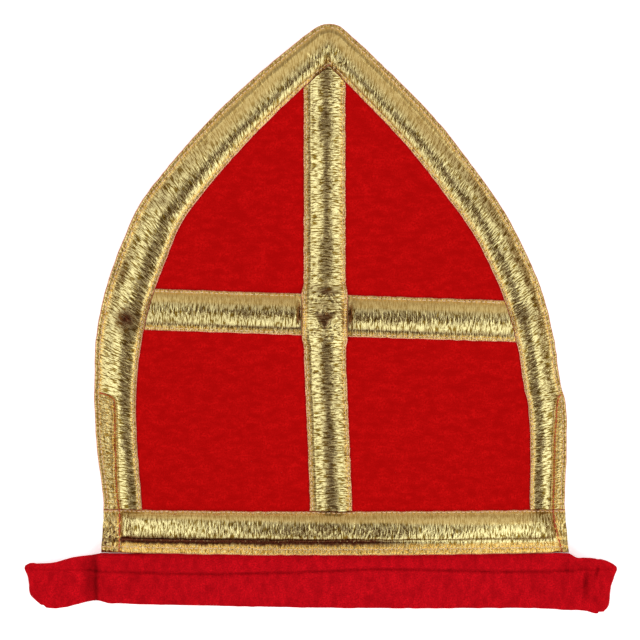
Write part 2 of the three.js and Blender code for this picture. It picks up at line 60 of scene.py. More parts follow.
# Panel outline: up is a share of the corner's height, left and right are shares of the half width, and
# left_trim and right_trim are the border's width there as shares of the border's width
OUTLINE = [
    {"up": 0, "left": 0.972, "right": 1.013, "left_trim": 1.06, "right_trim": 0.9},
    {"up": 0.09, "left": 0.962, "right": 0.997, "left_trim": 0.98, "right_trim": 0.9},
    {"up": 0.2, "left": 0.991, "right": 1.005, "left_trim": 1.04, "right_trim": 0.94},
    {"up": 0.28, "left": 1.001, "right": 1, "left_trim": 1.07, "right_trim": 0.97},
    {"up": 0.32, "left": 1, "right": 0.977, "left_trim": 1.09, "right_trim": 0.94},
    {"up": 0.4, "left": 0.994, "right": 0.95, "left_trim": 1.17, "right_trim": 0.96},
    {"up": 0.5, "left": 0.947, "right": 0.889, "left_trim": 1.21, "right_trim": 0.98},
    {"up": 0.6, "left": 0.862, "right": 0.785, "left_trim": 1.2, "right_trim": 0.97},
    {"up": 0.65, "left": 0.808, "right": 0.719, "left_trim": 1.18, "right_trim": 0.98},
    {"up": 0.7, "left": 0.724, "right": 0.64, "left_trim": 1.13, "right_trim": 1},
    {"up": 0.8, "left": 0.526, "right": 0.464, "left_trim": 1.1, "right_trim": 1.01},
    {"up": 0.9, "left": 0.284, "right": 0.243, "left_trim": 1.03, "right_trim": 0.98},
    {"up": 1, "left": 0, "right": 0, "left_trim": 0.93, "right_trim": 0.93},
]

# Headband edges: at runs from -2 at the left ear's tip, over -1 and 1 at the panels' corners, to 2 at the
# right ear's tip. top, hem and bottom are distances below the mouth edge, as shares of the band's depth.
BAND_EDGES = [
    {"at": -2, "top": 0.2, "hem": 0.34, "bottom": 1.02},
    {"at": -1.9, "top": 0.215, "hem": 0.34, "bottom": 1.07},
    {"at": -1.65, "top": 0.19, "hem": 0.33, "bottom": 1.07},
    {"at": -1.4, "top": 0.09, "hem": 0.32, "bottom": 1},
    {"at": -1.1, "top": 0.04, "hem": 0.35, "bottom": 0.93},
    {"at": -1, "top": 0.014, "hem": 0.36, "bottom": 0.935},
    {"at": -0.96, "top": 0.012, "hem": 0.365, "bottom": 0.98},
    {"at": -0.5, "top": 0.012, "hem": 0.38, "bottom": 1.004},
    {"at": 0, "top": 0.012, "hem": 0.31, "bottom": 1.028},
    {"at": 0.2, "top": 0.012, "hem": 0.275, "bottom": 1.037},
    {"at": 0.85, "top": 0.012, "hem": 0.36, "bottom": 1.07},
    {"at": 1, "top": 0.014, "hem": 0.35, "bottom": 1.115},
    {"at": 1.25, "top": 0.095, "hem": 0.37, "bottom": 1.115},
    {"at": 1.5, "top": 0.1, "hem": 0.36, "bottom": 1.13},
    {"at": 1.75, "top": 0.11, "hem": 0.34, "bottom": 1.18},
    {"at": 2, "top": 0.126, "hem": 0.34, "bottom": 1.15},
]

# Ends of the two ears: down runs from their upper to their lower edge, left and right are shares of the
# ears' reach
EAR_ENDS = [
    {"down": 0, "left": 0.93, "right": 0.66},
    {"down": 0.06, "left": 0.99, "right": 0.85},
    {"down": 0.16, "left": 1, "right": 0.98},
    {"down": 0.35, "left": 0.96, "right": 0.93},
    {"down": 0.5, "left": 0.945, "right": 0.876},
    {"down": 0.75, "left": 0.93, "right": 0.84},
    {"down": 0.9, "left": 0.855, "right": 0.81},
    {"down": 1, "left": 0.79, "right": 0.72},
]

# Creases in the headband's upper face: at and down give the place, wide and long its reach in those terms,
# and deep its depth as a share of the plush's thickness (a ridge where negative). The depth also sets how
# much painted shade a crease gets.
BAND_CREASES = [
    {"at": -1.075, "down": 0.6, "wide": 0.03, "long": 0.9, "deep": 0.8},
    {"at": -1.15, "down": 0.55, "wide": 0.09, "long": 0.8, "deep": 0.6},
    {"at": -1.45, "down": 0.45, "wide": 0.12, "long": 0.5, "deep": -0.3},
    {"at": -1.6, "down": 0.25, "wide": 0.35, "long": 0.04, "deep": 0.2},
    {"at": -1.85, "down": 0.75, "wide": 0.12, "long": 0.2, "deep": -0.4},
    {"at": 0.995, "down": 0.25, "wide": 0.012, "long": 0.3, "deep": 0.4},
    {"at": 1.4, "down": 0.5, "wide": 0.07, "long": 0.26, "deep": 0.9},
    {"at": 1.53, "down": 0.5, "wide": 0.07, "long": 0.22, "deep": -0.8},
    {"at": 1.6, "down": 0.26, "wide": 0.04, "long": 0.12, "deep": 0.9},
    {"at": 1.55, "down": 0.07, "wide": 0.16, "long": 0.08, "deep": -0.7},
    {"at": 1.74, "down": 0.6, "wide": 0.1, "long": 0.12, "deep": -0.5},
    {"at": 1.64, "down": 0.75, "wide": 0.08, "long": 0.1, "deep": 0.4},
    {"at": 1.25, "down": 0.2, "wide": 0.16, "long": 0.06, "deep": 0.4},
]

# The mouth trim's padding from the mouth edge up, as shares of the trim's puff, at its two ends
MOUTH_SECTION = [
    {"up": 0, "left": 0.2, "right": 0.2},
    {"up": 0.12, "left": 0.27, "right": 0.3},
    {"up": 0.23, "left": 0.3, "right": 0.33},
    {"up": 0.28, "left": 0.12, "right": 0.38},
    {"up": 0.33, "left": 0.08, "right": 0.5},
    {"up": 0.38, "left": 0.58, "right": 0.72},
    {"up": 0.55, "left": 0.92, "right": 1},
    {"up": 0.68, "left": 1, "right": 1},
    {"up": 0.78, "left": 0.98, "right": 0.87},
    {"up": 0.88, "left": 0.75, "right": 0.57},
    {"up": 0.95, "left": 0.3, "right": 0.25},
    {"up": 1, "left": 0.2, "right": 0.2},
]

# Side seams: their distance from the middle as shares of the half width
SEAM_LINES = [
    {"up": 0, "left": 0.896, "right": 0.985},
    {"up": 0.065, "left": 0.894, "right": 0.95},
    {"up": 0.12, "left": 0.905, "right": 0.949},
    {"up": 0.22, "left": 0.912, "right": 0.955},
    {"up": 0.27, "left": 0.913, "right": 0.963},
    {"up": 0.29, "left": 0.925, "right": 0.972},
    {"up": 0.3, "left": 0.99, "right": 0.99},
]

SIGN = {"left": -1, "right": 1}


# Uneven patterns of hand work and crumpled cloth: the width and length of their cells in millimetres, and
# their seed. A trim adds its own seed to those of its crinkles and lumps.
PATTERNS = {
    "crinkle": {"wide": 1.4, "long": 6, "seed": 0},
    "fine_crinkle": {"wide": 0.77, "long": 2.1, "seed": 1},
    "crinkle_wander": {"wide": 9, "long": 5, "seed": 3},
    "crinkle_strength": {"wide": 17, "long": 9, "seed": 4},
    "lumps": {"wide": 13, "long": 7, "seed": 7},
    "waver_across": {"wide": 4.5, "long": 4.5, "seed": 5},
    "waver_along": {"wide": 4.5, "long": 4.5, "seed": 6},
    "tufts": {"wide": 1.1, "long": 1.1, "seed": 81},
    "nap": {"wide": 7, "long": 5, "seed": 82},
    "pucker_wander": {"wide": 4, "long": 4, "seed": 91},
    "puckers": {"wide": 1.7, "long": 3.4, "seed": 92},
    "groove_drift": {"wide": 9, "long": 9, "seed": 95},
    "end_specks": {"wide": 0.75, "long": 0.9, "seed": 96},
    "end_lumps": {"wide": 2.2, "long": 2.6, "seed": 97},
    "groove_ravel": {"wide": 1.3, "long": 3, "seed": 98},
}
TRIM_SEEDS = {
    "front_border": 11, "back_border": 17, "front_crossbar": 23, "front_upright": 31,
    "front_mouth_trim": 41, "back_mouth_trim": 47}

# Rows of stitching: their distances in millimetres from a trim's first and last edge
STITCH_ROWS = {
    "border": {"first": 2.6, "last": 1.7},
    "crossbar": {"first": 1.7, "last": 1.7},
    "upright": {"first": 1.7, "last": 1.7},
    "mouth_trim": {"first": 3.8, "last": 0.9},
}

# Stretches across a trim, as shares of its width: they set in over the rise from low and die out over the
# fall before high
STRETCHES = {
    "border_smooth": {"low": 0.04, "rise": 0.06, "high": 0.62, "fall": 0.25},
    "crossbar_smooth": {"low": 0.64, "rise": 0.1, "high": 0.95, "fall": 0.04},
    "mouth_smooth": {"low": 0.78, "rise": 0.08, "high": 0.97, "fall": 0.03},
    "end_crushed": {"low": 0.1, "rise": 0.1, "high": 0.65, "fall": 0.15},
}

# Dents in the border's padding: place and size as shares of the half width, depth as a share of the puff
BORDER_DENTS = [
    {"x": -0.862, "y": 0.99, "size": 0.05, "deep": 0.5},
    {"x": 0.9, "y": 0.135, "size": 0.04, "deep": 0.3},
    {"x": -0.9, "y": 1.2, "size": 0.05, "deep": 0.15},
    {"x": -0.7, "y": 1.5, "size": 0.04, "deep": 0.15},
    {"x": 0.82, "y": 1.02, "size": 0.04, "deep": 0.2},
]

# Soft boxes: the direction they shine from, the cosine at their edge, its softness, and their level
SOFT_BOXES = [
    {"x": -0.74, "y": -0.06, "z": 0.66, "edge": 0.9, "soft": 0.05, "level": 2.7},
    {"x": -0.5, "y": -0.55, "z": 0.66, "edge": 0.9, "soft": 0.05, "level": 1.3},
    {"x": 0, "y": -0.74, "z": 0.66, "edge": 0.9, "soft": 0.05, "level": 1.78},
    {"x": 0.5, "y": -0.55, "z": 0.66, "edge": 0.9, "soft": 0.05, "level": 2.16},
    {"x": 0.74, "y": -0.06, "z": 0.66, "edge": 0.9, "soft": 0.05, "level": 2.7},
    {"x": 0, "y": 0.8, "z": 0.6, "edge": 0.5, "soft": 0.3, "level": 0.54},
    {"x": -0.52, "y": 0.52, "z": 0.67, "edge": 0.9, "soft": 0.05, "level": 0.8},
    {"x": 0.52, "y": 0.52, "z": 0.67, "edge": 0.9, "soft": 0.05, "level": 0.65},
]


# Curves and noise

TABLE_SAMPLES = 600
NOISE_CELLS = 257


def ease(value):
    """Soft step from 0 to 1."""
    s = np.clip(value, 0, 1)
    return s * s * (3 - 2 * s)


def mix(a, b, share):
    return a + (b - a) * share


def between(value, low, rise, high, fall):
    """1 from low to high, with a soft start over the rise and a soft end over the fall."""
    return ease((value - low) / rise) * ease((high - value) / fall)


def beside(distances, width):
    """1 on any of some lines, falling to 0 over a width beside them."""
    return np.max([np.exp(-((distance / width) ** 2)) for distance in distances], axis=0)


def unit(vector):
    return vector / np.linalg.norm(vector)


def curve(table, key, column, value):
    """Smooth curve through one column of a table, at values of the key column."""
    keys = np.array([row[key] for row in table], float)
    ends = np.array([row[column] for row in table], float)
    slopes = np.empty(len(keys))
    slopes[1:-1] = (ends[2:] - ends[:-2]) / (keys[2:] - keys[:-2])
    slopes[0] = (ends[1] - ends[0]) / (keys[1] - keys[0])
    slopes[-1] = (ends[-1] - ends[-2]) / (keys[-1] - keys[-2])
    v = np.clip(value, keys[0], keys[-1])
    i = np.clip(np.searchsorted(keys, v, side="left") - 1, 0, len(keys) - 2)
    span = keys[i + 1] - keys[i]
    s = (v - keys[i]) / span
    bend = s * (1 - s) ** 2 * slopes[i] * span + s**2 * (s - 1) * slopes[i + 1] * span
    return ends[i] + (ends[i + 1] - ends[i]) * s * s * (3 - 2 * s) + bend


def highest(table, key, column):
    """Largest value that a table's curve reaches."""
    keys = np.linspace(table[0][key], table[-1][key], TABLE_SAMPLES)
    return float(curve(table, key, column, keys).max())


def lengths_along(points):
    """Distance of each point of a polyline from its first."""
    return np.concatenate([[0], np.cumsum(np.linalg.norm(np.diff(points, axis=0), axis=1))])


def at_lengths(points, lengths, at):
    """Points at distances along a polyline whose points lie at the lengths."""
    return np.stack([np.interp(at, lengths, points[:, k]) for k in range(points.shape[1])], axis=-1)


def resample(points, steps):
    """Points spaced evenly along a polyline."""
    lengths = lengths_along(points)
    return at_lengths(points, lengths, np.linspace(0, lengths[-1], steps + 1))


def noise(u, v, seed):
    """Smooth value noise from -1 to 1, one cell wide in u and v."""
    lattice = np.random.default_rng(seed).uniform(-1, 1, (NOISE_CELLS, NOISE_CELLS))
    i, j = np.floor(u).astype(int), np.floor(v).astype(int)
    s, t = ease(u - i), ease(v - j)
    near, far = (
        mix(lattice[i % NOISE_CELLS, k % NOISE_CELLS], lattice[(i + 1) % NOISE_CELLS, k % NOISE_CELLS], s)
        for k in (j, j + 1))
    return mix(near, far, t)


def uneven(x, y, pattern, seed=0, drift=(0, 0)):
    """One of the uneven patterns, from -1 to 1, drifted by shares of its cells."""
    row = PATTERNS[pattern]
    u, v = x / (row["wide"] * MM) + drift[0], y / (row["long"] * MM) + drift[1]
    return noise(u, v, row["seed"] + seed)


# Sizes and colours

def extent(node, axis):
    """Lowest and highest place of a CAD node along one axis."""
    low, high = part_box(node)
    return low[axis], high[axis]


def length(name, description, default):
    """A size that the sidebar shows as a length."""
    return bpy.props.FloatProperty(
        name=name, description=description, default=default, subtype="DISTANCE", unit="LENGTH", precision=4)


def linear(hex_colour):
    """sRGB hex value to linear colour."""
    parts = [int(hex_colour[k:k + 2], 16) / 255 for k in (1, 3, 5)]
    return [p / 12.92 if p <= 0.04045 else ((p + 0.055) / 1.055) ** 2.4 for p in parts] + [1]


def darker(tone, share):
    """A share of a linear colour's light."""
    return [part * share for part in tone[:3]] + [1]


def colour(name, description, hex_colour):
    """A colour that the sidebar shows as a swatch."""
    return bpy.props.FloatVectorProperty(
        name=name, description=description, default=linear(hex_colour), subtype="COLOR", size=4, min=0, max=1)


PANEL_X = extent("front_panel", 0)
MOUTH_Y = extent("front_panel", 1)[0]
BACK_TRIM_Z = extent("back_border", 2)
BACK_FELT_Z = extent("back_panel", 2)
WIDEST = {side: highest(OUTLINE, "up", side) for side in SIGN}


class MitreSizes(bpy.types.PropertyGroup):
    """Sizes that a user would change."""

    half_width: length(
        "Half width", "From the middle of a panel to its widest side",
        (PANEL_X[1] - PANEL_X[0]) / (WIDEST["left"] + WIDEST["right"]))
    corner_height: length("Corner height", "From the mouth edge to where the sides would meet", 342 * MM)
    peak_radius: length("Peak radius", "Rounding of the peak", 16 * MM)
    felt: length("Felt", "Thickness of the felt", BACK_FELT_Z[1] - BACK_FELT_Z[0])
    gap: length("Gap", "Clearance between sewn pieces", BACK_FELT_Z[0] - BACK_TRIM_Z[1])
    mouth_rise: length("Mouth rise", "Height of the front panel's arch at the mouth", 34 * MM)
    peak_lift: length("Peak lift", "How far the front peak stands clear of the back peak", 10 * MM)
    seam_height: length("Seam height", "Length of each side seam above the mouth", 102.5 * MM)
    margin_left: length("Left seam allowance", "Cloth outside the left seam", 11.5 * MM)
    margin_right: length("Right seam allowance", "Cloth outside the right seam", 8 * MM)
    trim_edge: length("Trim edge", "Thickness of a trim along its stitched edges", 0.9 * MM)
    trim_puff: length("Trim puff", "Thickness of a trim at the crown of its padding", 4.2 * MM)
    back_puff: length(
        "Back puff", "Thickness of the back trims, pressed flat", BACK_TRIM_Z[1] - BACK_TRIM_Z[0])
    border_width: length("Border width", "Width of the border trims", 25 * MM)
    upright_width: length("Upright width", "Width of the cross's upright", 26.6 * MM)
    crossbar_width: length("Crossbar width", "Width of the crossbar", 26.4 * MM)
    crossbar_height: length("Crossbar height", "Middle of the crossbar above the mouth edge", 151.5 * MM)
    mouth_trim_width: length("Mouth trim width", "Width of the trim along the mouth", 27.5 * MM)
    mouth_lip: length("Mouth lip", "Flat lip along the mouth edge", 7.5 * MM)
    band_depth: length("Band depth", "Headband showing below the mouth edge", 33 * MM)
    band_wall: length("Plush", "Thickness of the headband's plush", 2 * MM)
    hem_start: length("Hem start", "Distance of the hem's upper edge from the mouth", 10 * MM)
    ear_left: length("Left ear", "Reach of the left ear past the panels", 49 * MM)
    ear_right: length("Right ear", "Reach of the right ear past the panels", 31.5 * MM)
    stitch_pitch: length("Stitch pitch", "Length of one stitch and its gap", 3.2 * MM)


class MitreColours(bpy.types.PropertyGroup):
    """Colours of the cloths and threads."""

    felt: colour("Felt", "Dyed felt", "#BD0B0B")
    felt_shade: colour("Felt shade", "Felt where its fibres lie the other way", "#A00505")
    plush: colour("Plush", "Headband plush", "#D50D19")
    plush_shade: colour("Plush shade", "Plush between its tufts", "#88030A")
    gold: colour("Gold", "Metallised yarn", "#C1AF78")
    # Painted shade: dark gold laid in the troughs of the yarn's bump pattern, so the crinkles look shaded
    gold_crinkle_shade: colour("Deep gold", "Metallised yarn in the crinkles", "#6A5014")
    amber: colour("Amber", "Ground yarn where stitching packs the cloth down", "#CE9C45")
    # Painted reflection: smooth stretches are laid in this flat olive-amber, with less metal, to stand for
    # the dull reflection that smooth gold shows
    calm: colour("Smooth gold", "Gold cloth drawn smooth, dull with its ground yarn", "#C4A259")
    # Painted shade with a painted reddish reflection, for gold deep in its creases, dents and the mouth
    # groove
    crease: colour("Crease", "Gold cloth deep in a crease, over the red felt", "#47200F")
    turned_edge: colour("Turned edge", "Ground yarn along the turned edge", "#C67A5E")
    trim_thread: colour("Trim thread", "Thread that holds the trims", "#EDC79A")
    seam_thread: colour("Seam thread", "Thread of the side seams", "#BE4A1C")
    table: colour("Table", "White table", "#FFFFFF")


# Form of the mitre

SEAM_FADE = 55 * MM  # stretch above the seams over which their pinch dies out
SEAM_EASE = 1.5 * MM  # softness of the arch's bend at the seams
ARCH_FULLNESS = 2.2  # higher is flatter on top and steeper at the seams
ARCH_FALL = 1.15  # how fast the arch sinks towards the peak
LIFT_POWER = 1.5  # higher keeps the front peak down for longer
LEAN_POWER = 4  # higher brings a side to the peak's rounding later
PADDING_POWER = 0.9  # lower is fuller beside the stitching
SWAY = 0.22 * MM  # unevenness of hand-stretched felt
SWAY_WAVES = [  # millimetres to the radian across and up, and where each wave begins
    {"x": 31, "y": 47, "start": 0},
    {"x": -63, "y": 29, "start": 2},
]
CROSSBAR_SLOPE = -0.033  # fall of the crossbar towards the right
UPRIGHT_FOOT = 1 * MM  # the upright's foot beside the middle
UPRIGHT_HEAD = -3.5 * MM  # the upright beside the middle, from the crossing to the peak
CROSSBAR_RAMP = 4 * MM  # stretch over which the crossbar swells beside the upright
UPRIGHT_RAMP = 8 * MM  # stretch over which the upright climbs beside the crossbar
CROSSING_PRESSED = 0.6 * MM  # thickness of the crossbar where the upright presses it
CROSSING_SPREAD = 1.3 * MM  # how far the upright spreads sideways over the crossbar
OUTLINE_ROWS = 120  # points up each side
PEAK_ROWS = 12  # points round half of the peak
CLOSE = 1e-9  # metres, within which a point is on the mitre line


class MitreForm:
    """Outline and cloth heights, worked out from the sizes."""

    def __init__(self, sizes):
        self.s = sizes
        self.margin = {"left": sizes.margin_left, "right": sizes.margin_right}
        self.bed = sizes.back_puff + sizes.gap + sizes.felt + sizes.gap
        self.trace_outline()

    def width_at(self, side, y):
        return self.s.half_width * curve(OUTLINE, "up", side, y / self.s.corner_height)

    def trim_at(self, side, y):
        return self.s.border_width * curve(OUTLINE, "up", side + "_trim", y / self.s.corner_height)

    def trace_outline(self):
        """The two sides as points from below the mouth to the rounded peak."""
        s = self.s
        corner = np.array([0, s.corner_height])
        nearby = s.corner_height - s.peak_radius
        along = {
            side: unit(np.array([sign * self.width_at(side, nearby), nearby]) - corner)
            for side, sign in SIGN.items()}
        half = math.acos(along["left"] @ along["right"]) / 2
        self.down = unit(along["left"] + along["right"])
        centre = corner + self.down * s.peak_radius / math.sin(half)
        self.peak = centre - self.down * s.peak_radius
        self.edge = {}
        for side, sign in SIGN.items():
            touch = corner + along[side] * s.peak_radius / math.tan(half)
            share = np.linspace(0, 1, OUTLINE_ROWS + 1)
            y = touch[1] * share
            lean = (touch[0] * sign - self.width_at(side, touch[1])) * share**LEAN_POWER
            straight = np.stack([sign * (self.width_at(side, y) + lean), y], axis=1)
            start, end = (math.atan2(*(p - centre)[::-1]) for p in (touch, self.peak))
            angle = np.linspace(start, end, PEAK_ROWS + 1)[1:]
            arc = centre + s.peak_radius * np.stack([np.cos(angle), np.sin(angle)], axis=1)
            foot = [[sign * self.width_at(side, 0), -s.border_width]]
            self.edge[side] = np.concatenate([foot, straight, arc])

    def inset(self, side, share, clearance, height):
        """One side moved inwards, from a height above the mouth to the mitre line under the peak."""
        points = self.edge[side]
        sign = SIGN[side]
        before = np.concatenate([points[:1], points[:-1]])
        after = np.concatenate([points[1:], points[-1:]])
        along = after - before
        inward = np.stack([-along[:, 1], along[:, 0]], axis=1) * sign
        inward /= np.linalg.norm(inward, axis=1, keepdims=True)
        inward[-1] = self.down
        reach = share * self.trim_at(side, points[:, 1]) + clearance
        moved = points + inward * reach[:, None]
        off = moved - self.peak
        beyond = sign * (self.down[0] * off[:, 1] - self.down[1] * off[:, 0])
        kept = []
        for i in range(1, len(moved)):
            a, b = moved[i - 1], moved[i]
            if a[1] < height <= b[1]:
                kept.append(mix(a, b, (height - a[1]) / (b[1] - a[1])))
            if beyond[i] <= CLOSE:
                kept.append(mix(a, b, np.clip(beyond[i - 1] / (beyond[i - 1] - beyond[i]), 0, 1)))
                break
            if b[1] > height:
                kept.append(b)
        return np.array(kept)

    def split(self, x, left, right):
        """left where x is left of the middle, and right elsewhere."""
        return np.where(x < 0, left, right)

    def seam_margin(self, side, y):
        return self.margin[side] * (1 - ease((y - self.s.seam_height) / SEAM_FADE))

    def arch(self, x, y, height):
        """Height of the arch over its feet at the seams."""
        opened = [np.maximum(self.width_at(k, y) - self.seam_margin(k, y), self.s.felt) for k in SIGN]
        over = height * (1 - (np.abs(x) / self.split(x, *opened)) ** ARCH_FULLNESS)
        return (over + np.hypot(over, SEAM_EASE)) / 2

    def sway(self, x, y):
        """Slight unevenness of the felt, in two long waves."""
        return SWAY * sum(
            np.sin(x / (row["x"] * MM) + y / (row["y"] * MM) + row["start"]) for row in SWAY_WAVES)

    def front_under(self, x, y):
        """Underside of the front panel, without its sway."""
        up = np.clip(y / self.s.corner_height, 0, 1)
        free = np.clip((y - self.s.seam_height) / (self.s.corner_height - self.s.seam_height), 0, 1)
        rise = self.arch(x, y, self.s.mouth_rise * (1 - up) ** ARCH_FALL)
        return self.bed + self.s.peak_lift * free**LIFT_POWER + rise

    def seat(self, x, y):
        """Underside of a trim sewn on the front panel."""
        return self.front_under(x, y) + self.s.felt + self.sway(x, y) + self.s.gap

    def padded(self, distance, width, near, far):
        """Thickness of a padded strip at a distance from its first edge."""
        s = np.clip((distance - near) / (width - near - far), 0, 1)
        return mix(self.s.trim_edge, self.s.trim_puff, np.sin(math.pi * s) ** PADDING_POWER)

    def trim_width(self, trim):
        return getattr(self.s, trim + "_width")

    def stitch_rows(self, trim):
        """Distances of a trim's two rows of stitching from its first edge."""
        row = STITCH_ROWS[trim]
        return row["first"] * MM, self.trim_width(trim) - row["last"] * MM

    def upright_x(self, y):
        return mix(UPRIGHT_FOOT, UPRIGHT_HEAD, ease(y / self.s.crossbar_height))

    def crossbar_y(self, x):
        return self.s.crossbar_height + CROSSBAR_SLOPE * x

    def crossing(self, distance, width, ramp):
        """1 over the other trim's width, falling to 0 across the ramp."""
        return 1 - ease((np.abs(distance) - width / 2 - self.s.gap) / ramp)

    def under_upright(self, x, y):
        """1 where the upright presses the crossbar, falling to 0 beside it."""
        width = self.s.upright_width + 2 * CROSSING_SPREAD
        return self.crossing(x - self.upright_x(y), width, CROSSBAR_RAMP)

    def over_crossbar(self, past):
        """1 where the upright lies on the crossbar, falling to 0 past it."""
        return self.crossing(past, self.s.crossbar_width, UPRIGHT_RAMP)

    def seam_side(self, x, y):
        """Distance outwards from the side seam, taken straight across."""
        lines = [self.s.half_width * curve(SEAM_LINES, "up", k, y / self.s.corner_height) for k in SIGN]
        return np.abs(x) - self.split(x, *lines)

    def seam_distance(self, x, y):
        """Distance from the side seam. It grows above the seam's upper end."""
        return np.abs(self.seam_side(x, y)) + np.maximum(y - self.s.seam_height, 0)

    def below_seam_end(self, y, width):
        """1 up to the side seam's upper end, falling to 0 over a width above it."""
        return ease((self.s.seam_height - y) / width + 1)

    def past_seam(self, x, y, width):
        """1 on the cloth outside the side seam, falling to 0 over a width beside it."""
        return ease(self.seam_side(x, y) / width + 1) * self.below_seam_end(y, width)


def form_of(context):
    return MitreForm(context.scene.mitre_sizes)


# Meshes

WARP = 0.22 * MM  # waver that hand-guided sewing gives every line
SHARP_ANGLE = math.radians(60)


def place(points):
    """The mitre's own axes to the frame's, with the waver of every line."""
    axis_x = PANEL_X[0] + bpy.context.scene.mitre_sizes.half_width * WIDEST["left"]
    x, y = points[:, 0], points[:, 1]
    waver = [uneven(x, y, "waver_across"), uneven(x, y, "waver_along"), np.zeros_like(x)]
    return points + np.stack(waver, axis=1) * WARP + np.array([axis_x, MOUTH_Y, 0])


def quads(rows, columns):
    """Quads of a grid that face up when its rows run left to right and follow each other upwards."""
    index = np.arange(rows * columns).reshape(rows, columns)
    corners = [index[:-1, :-1], index[:-1, 1:], index[1:, 1:], index[1:, :-1]]
    return np.stack(corners, axis=-1).reshape(-1, 4)


def rim(rows, columns):
    """The grid's border, once round, counter-clockwise from above."""
    index = np.arange(rows * columns).reshape(rows, columns)
    return np.concatenate([index[0, :-1], index[:-1, -1], index[-1, :0:-1], index[:0:-1, 0]])


def build(name, points, faces, plan, look, marks):
    """Object from points and quads. plan holds each point's place on the flat cloth in metres, and marks the
    values that the material reads at each point: sewn says how far stitching packs the cloth, whether it is a
    turned edge and how much painted crease shade it gets (on the headband its first value is the painted
    crease shade), and calm how smooth it lies, which also lays on the painted reflection of smooth gold."""
    mesh = bpy.data.meshes.new(name)
    mesh.from_pydata(place(points).tolist(), [], faces.tolist())
    cut = mesh.uv_layers.new(name="cut")
    corner = np.empty(len(mesh.loops), int)
    mesh.loops.foreach_get("vertex_index", corner)
    cut.data.foreach_set("uv", plan[corner].astype(np.float32).ravel())
    for mark, values in marks.items():
        kind, field = ("FLOAT", "value") if values.ndim == 1 else ("FLOAT_VECTOR", "vector")
        made = mesh.attributes.new(mark, kind, "POINT")
        made.data.foreach_set(field, values.astype(np.float32).ravel())
    mesh.materials.append(look)
    mesh.shade_smooth()
    mesh.set_sharp_from_angle(angle=SHARP_ANGLE)
    piece = bpy.data.objects.new(name, mesh)
    bpy.context.scene.collection.objects.link(piece)
    return piece


def cloth(name, x, y, high, low, plan, look, backed=False, marks=None):
    """A layer of cloth over a grid, closed underneath unless it is backed by the piece below it."""
    rows, columns = x.shape
    top = np.stack([x, y, high], axis=-1).reshape(-1, 3)
    under = np.stack([x, y, low], axis=-1).reshape(-1, 3)
    flat = np.stack(plan, axis=-1).reshape(-1, 2)
    faces = quads(rows, columns)
    edge = rim(rows, columns)
    lower = np.arange(len(edge)) + len(top) if backed else edge + len(top)
    walls = np.stack([edge, lower, np.roll(lower, -1), np.roll(edge, -1)], axis=-1)
    below = edge if backed else slice(None)
    parts = [faces, walls] if backed else [faces, faces[:, ::-1] + len(top), walls]
    both = {}
    for mark, values in (marks or {}).items():
        listed = values.reshape(-1, *values.shape[2:])
        both[mark] = np.concatenate([listed, listed[below]])
    return build(name, np.concatenate([top, under[below]]), np.concatenate(parts),
                 np.concatenate([flat, flat[below]]), look, both)


def dress(piece, node):
    """The piece takes its node's place and rides on the one body."""
    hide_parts(node)
    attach(piece, "root")
    return piece


# Materials

# Widths of the patterns. Felt and plush fibres are 0.02 mm thick, metallised yarn is 0.2 mm and a thread's
# twist 0.1 mm, too fine to show at 0.64 mm a pixel, so each is drawn coarser, in the tufts that it forms.
FELT_CLOUD = 4 * MM
FELT_FIBRE = 1.1 * MM
PLUSH_NAP = 4 * MM
PLUSH_PILE = 0.8 * MM
LAME_YARN = 0.9 * MM
THREAD_TWIST = 0.4 * MM


def node(tree, kind, settings, sockets):
    """Adds a node with its settings. A socket is given a value, or linked where it is given a socket."""
    made = tree.nodes.new(kind)
    for key, value in settings.items():
        setattr(made, key, value)
    for key, value in sockets.items():
        if isinstance(value, bpy.types.NodeSocket):
            tree.links.new(value, made.inputs[key])
        else:
            made.inputs[key].default_value = value
    return made


def blank(name):
    """A new material and its tree, with nothing in it."""
    look = bpy.data.materials.new(name)
    look.use_nodes = True
    look.node_tree.nodes.clear()
    return look, look.node_tree


def pattern(tree, vector, size, detail, stretch=(1, 1, 1)):
    """Noise whose cells are size wide in metres, stretched along each axis."""
    scale = [1 / (size * share) for share in stretch]
    mapped = node(tree, "ShaderNodeMapping", {}, {"Vector": vector, "Scale": scale})
    sockets = {"Vector": mapped.outputs["Vector"], "Scale": 1, "Detail": detail, "Roughness": 0.5}
    return node(tree, "ShaderNodeTexNoise", {}, sockets).outputs["Fac"]


def overlay(tree, tone, value, low, high, top, most=1):
    """A tone with another over it, none of it where a value is low and the most where it is high."""
    sockets = {"Value": value, "From Min": low, "From Max": high, "To Max": most}
    share = node(tree, "ShaderNodeMapRange", {}, sockets).outputs["Result"]
    return node(tree, "ShaderNodeMix", {"data_type": "RGBA"}, {0: share, 6: tone, 7: top}).outputs[2]


def finish(tree, sockets, height=None, strength=1, depth=0):
    """The shader, raised by a height where one is given, and the output."""
    if height is not None:
        bump = node(tree, "ShaderNodeBump", {}, {"Height": height, "Strength": strength, "Distance": depth})
        sockets = {**sockets, "Normal": bump.outputs["Normal"]}
    shader = node(tree, "ShaderNodeBsdfPrincipled", {}, sockets)
    node(tree, "ShaderNodeOutputMaterial", {}, {"Surface": shader.outputs["BSDF"]})


def needled_felt(name, main, shade):
    """Dyed needle-punched felt: matte, faintly mottled, with fibres lying every way at the surface."""
    look, tree = blank(name)
    place_on = node(tree, "ShaderNodeTexCoord", {}, {}).outputs["Object"]
    cloud = pattern(tree, place_on, FELT_CLOUD, detail=5, stretch=(2, 1, 1))
    fibre = pattern(tree, place_on, FELT_FIBRE, detail=4)
    tone = overlay(tree, main, cloud, 0.36, 0.64, shade)
    tone = overlay(tree, tone, fibre, 0.35, 0.65, shade)
    sockets = {"Base Color": tone, "Roughness": 1, "Specular IOR Level": 0.02}
    finish(tree, sockets, height=fibre, strength=0.8, depth=0.3 * MM)
    return look


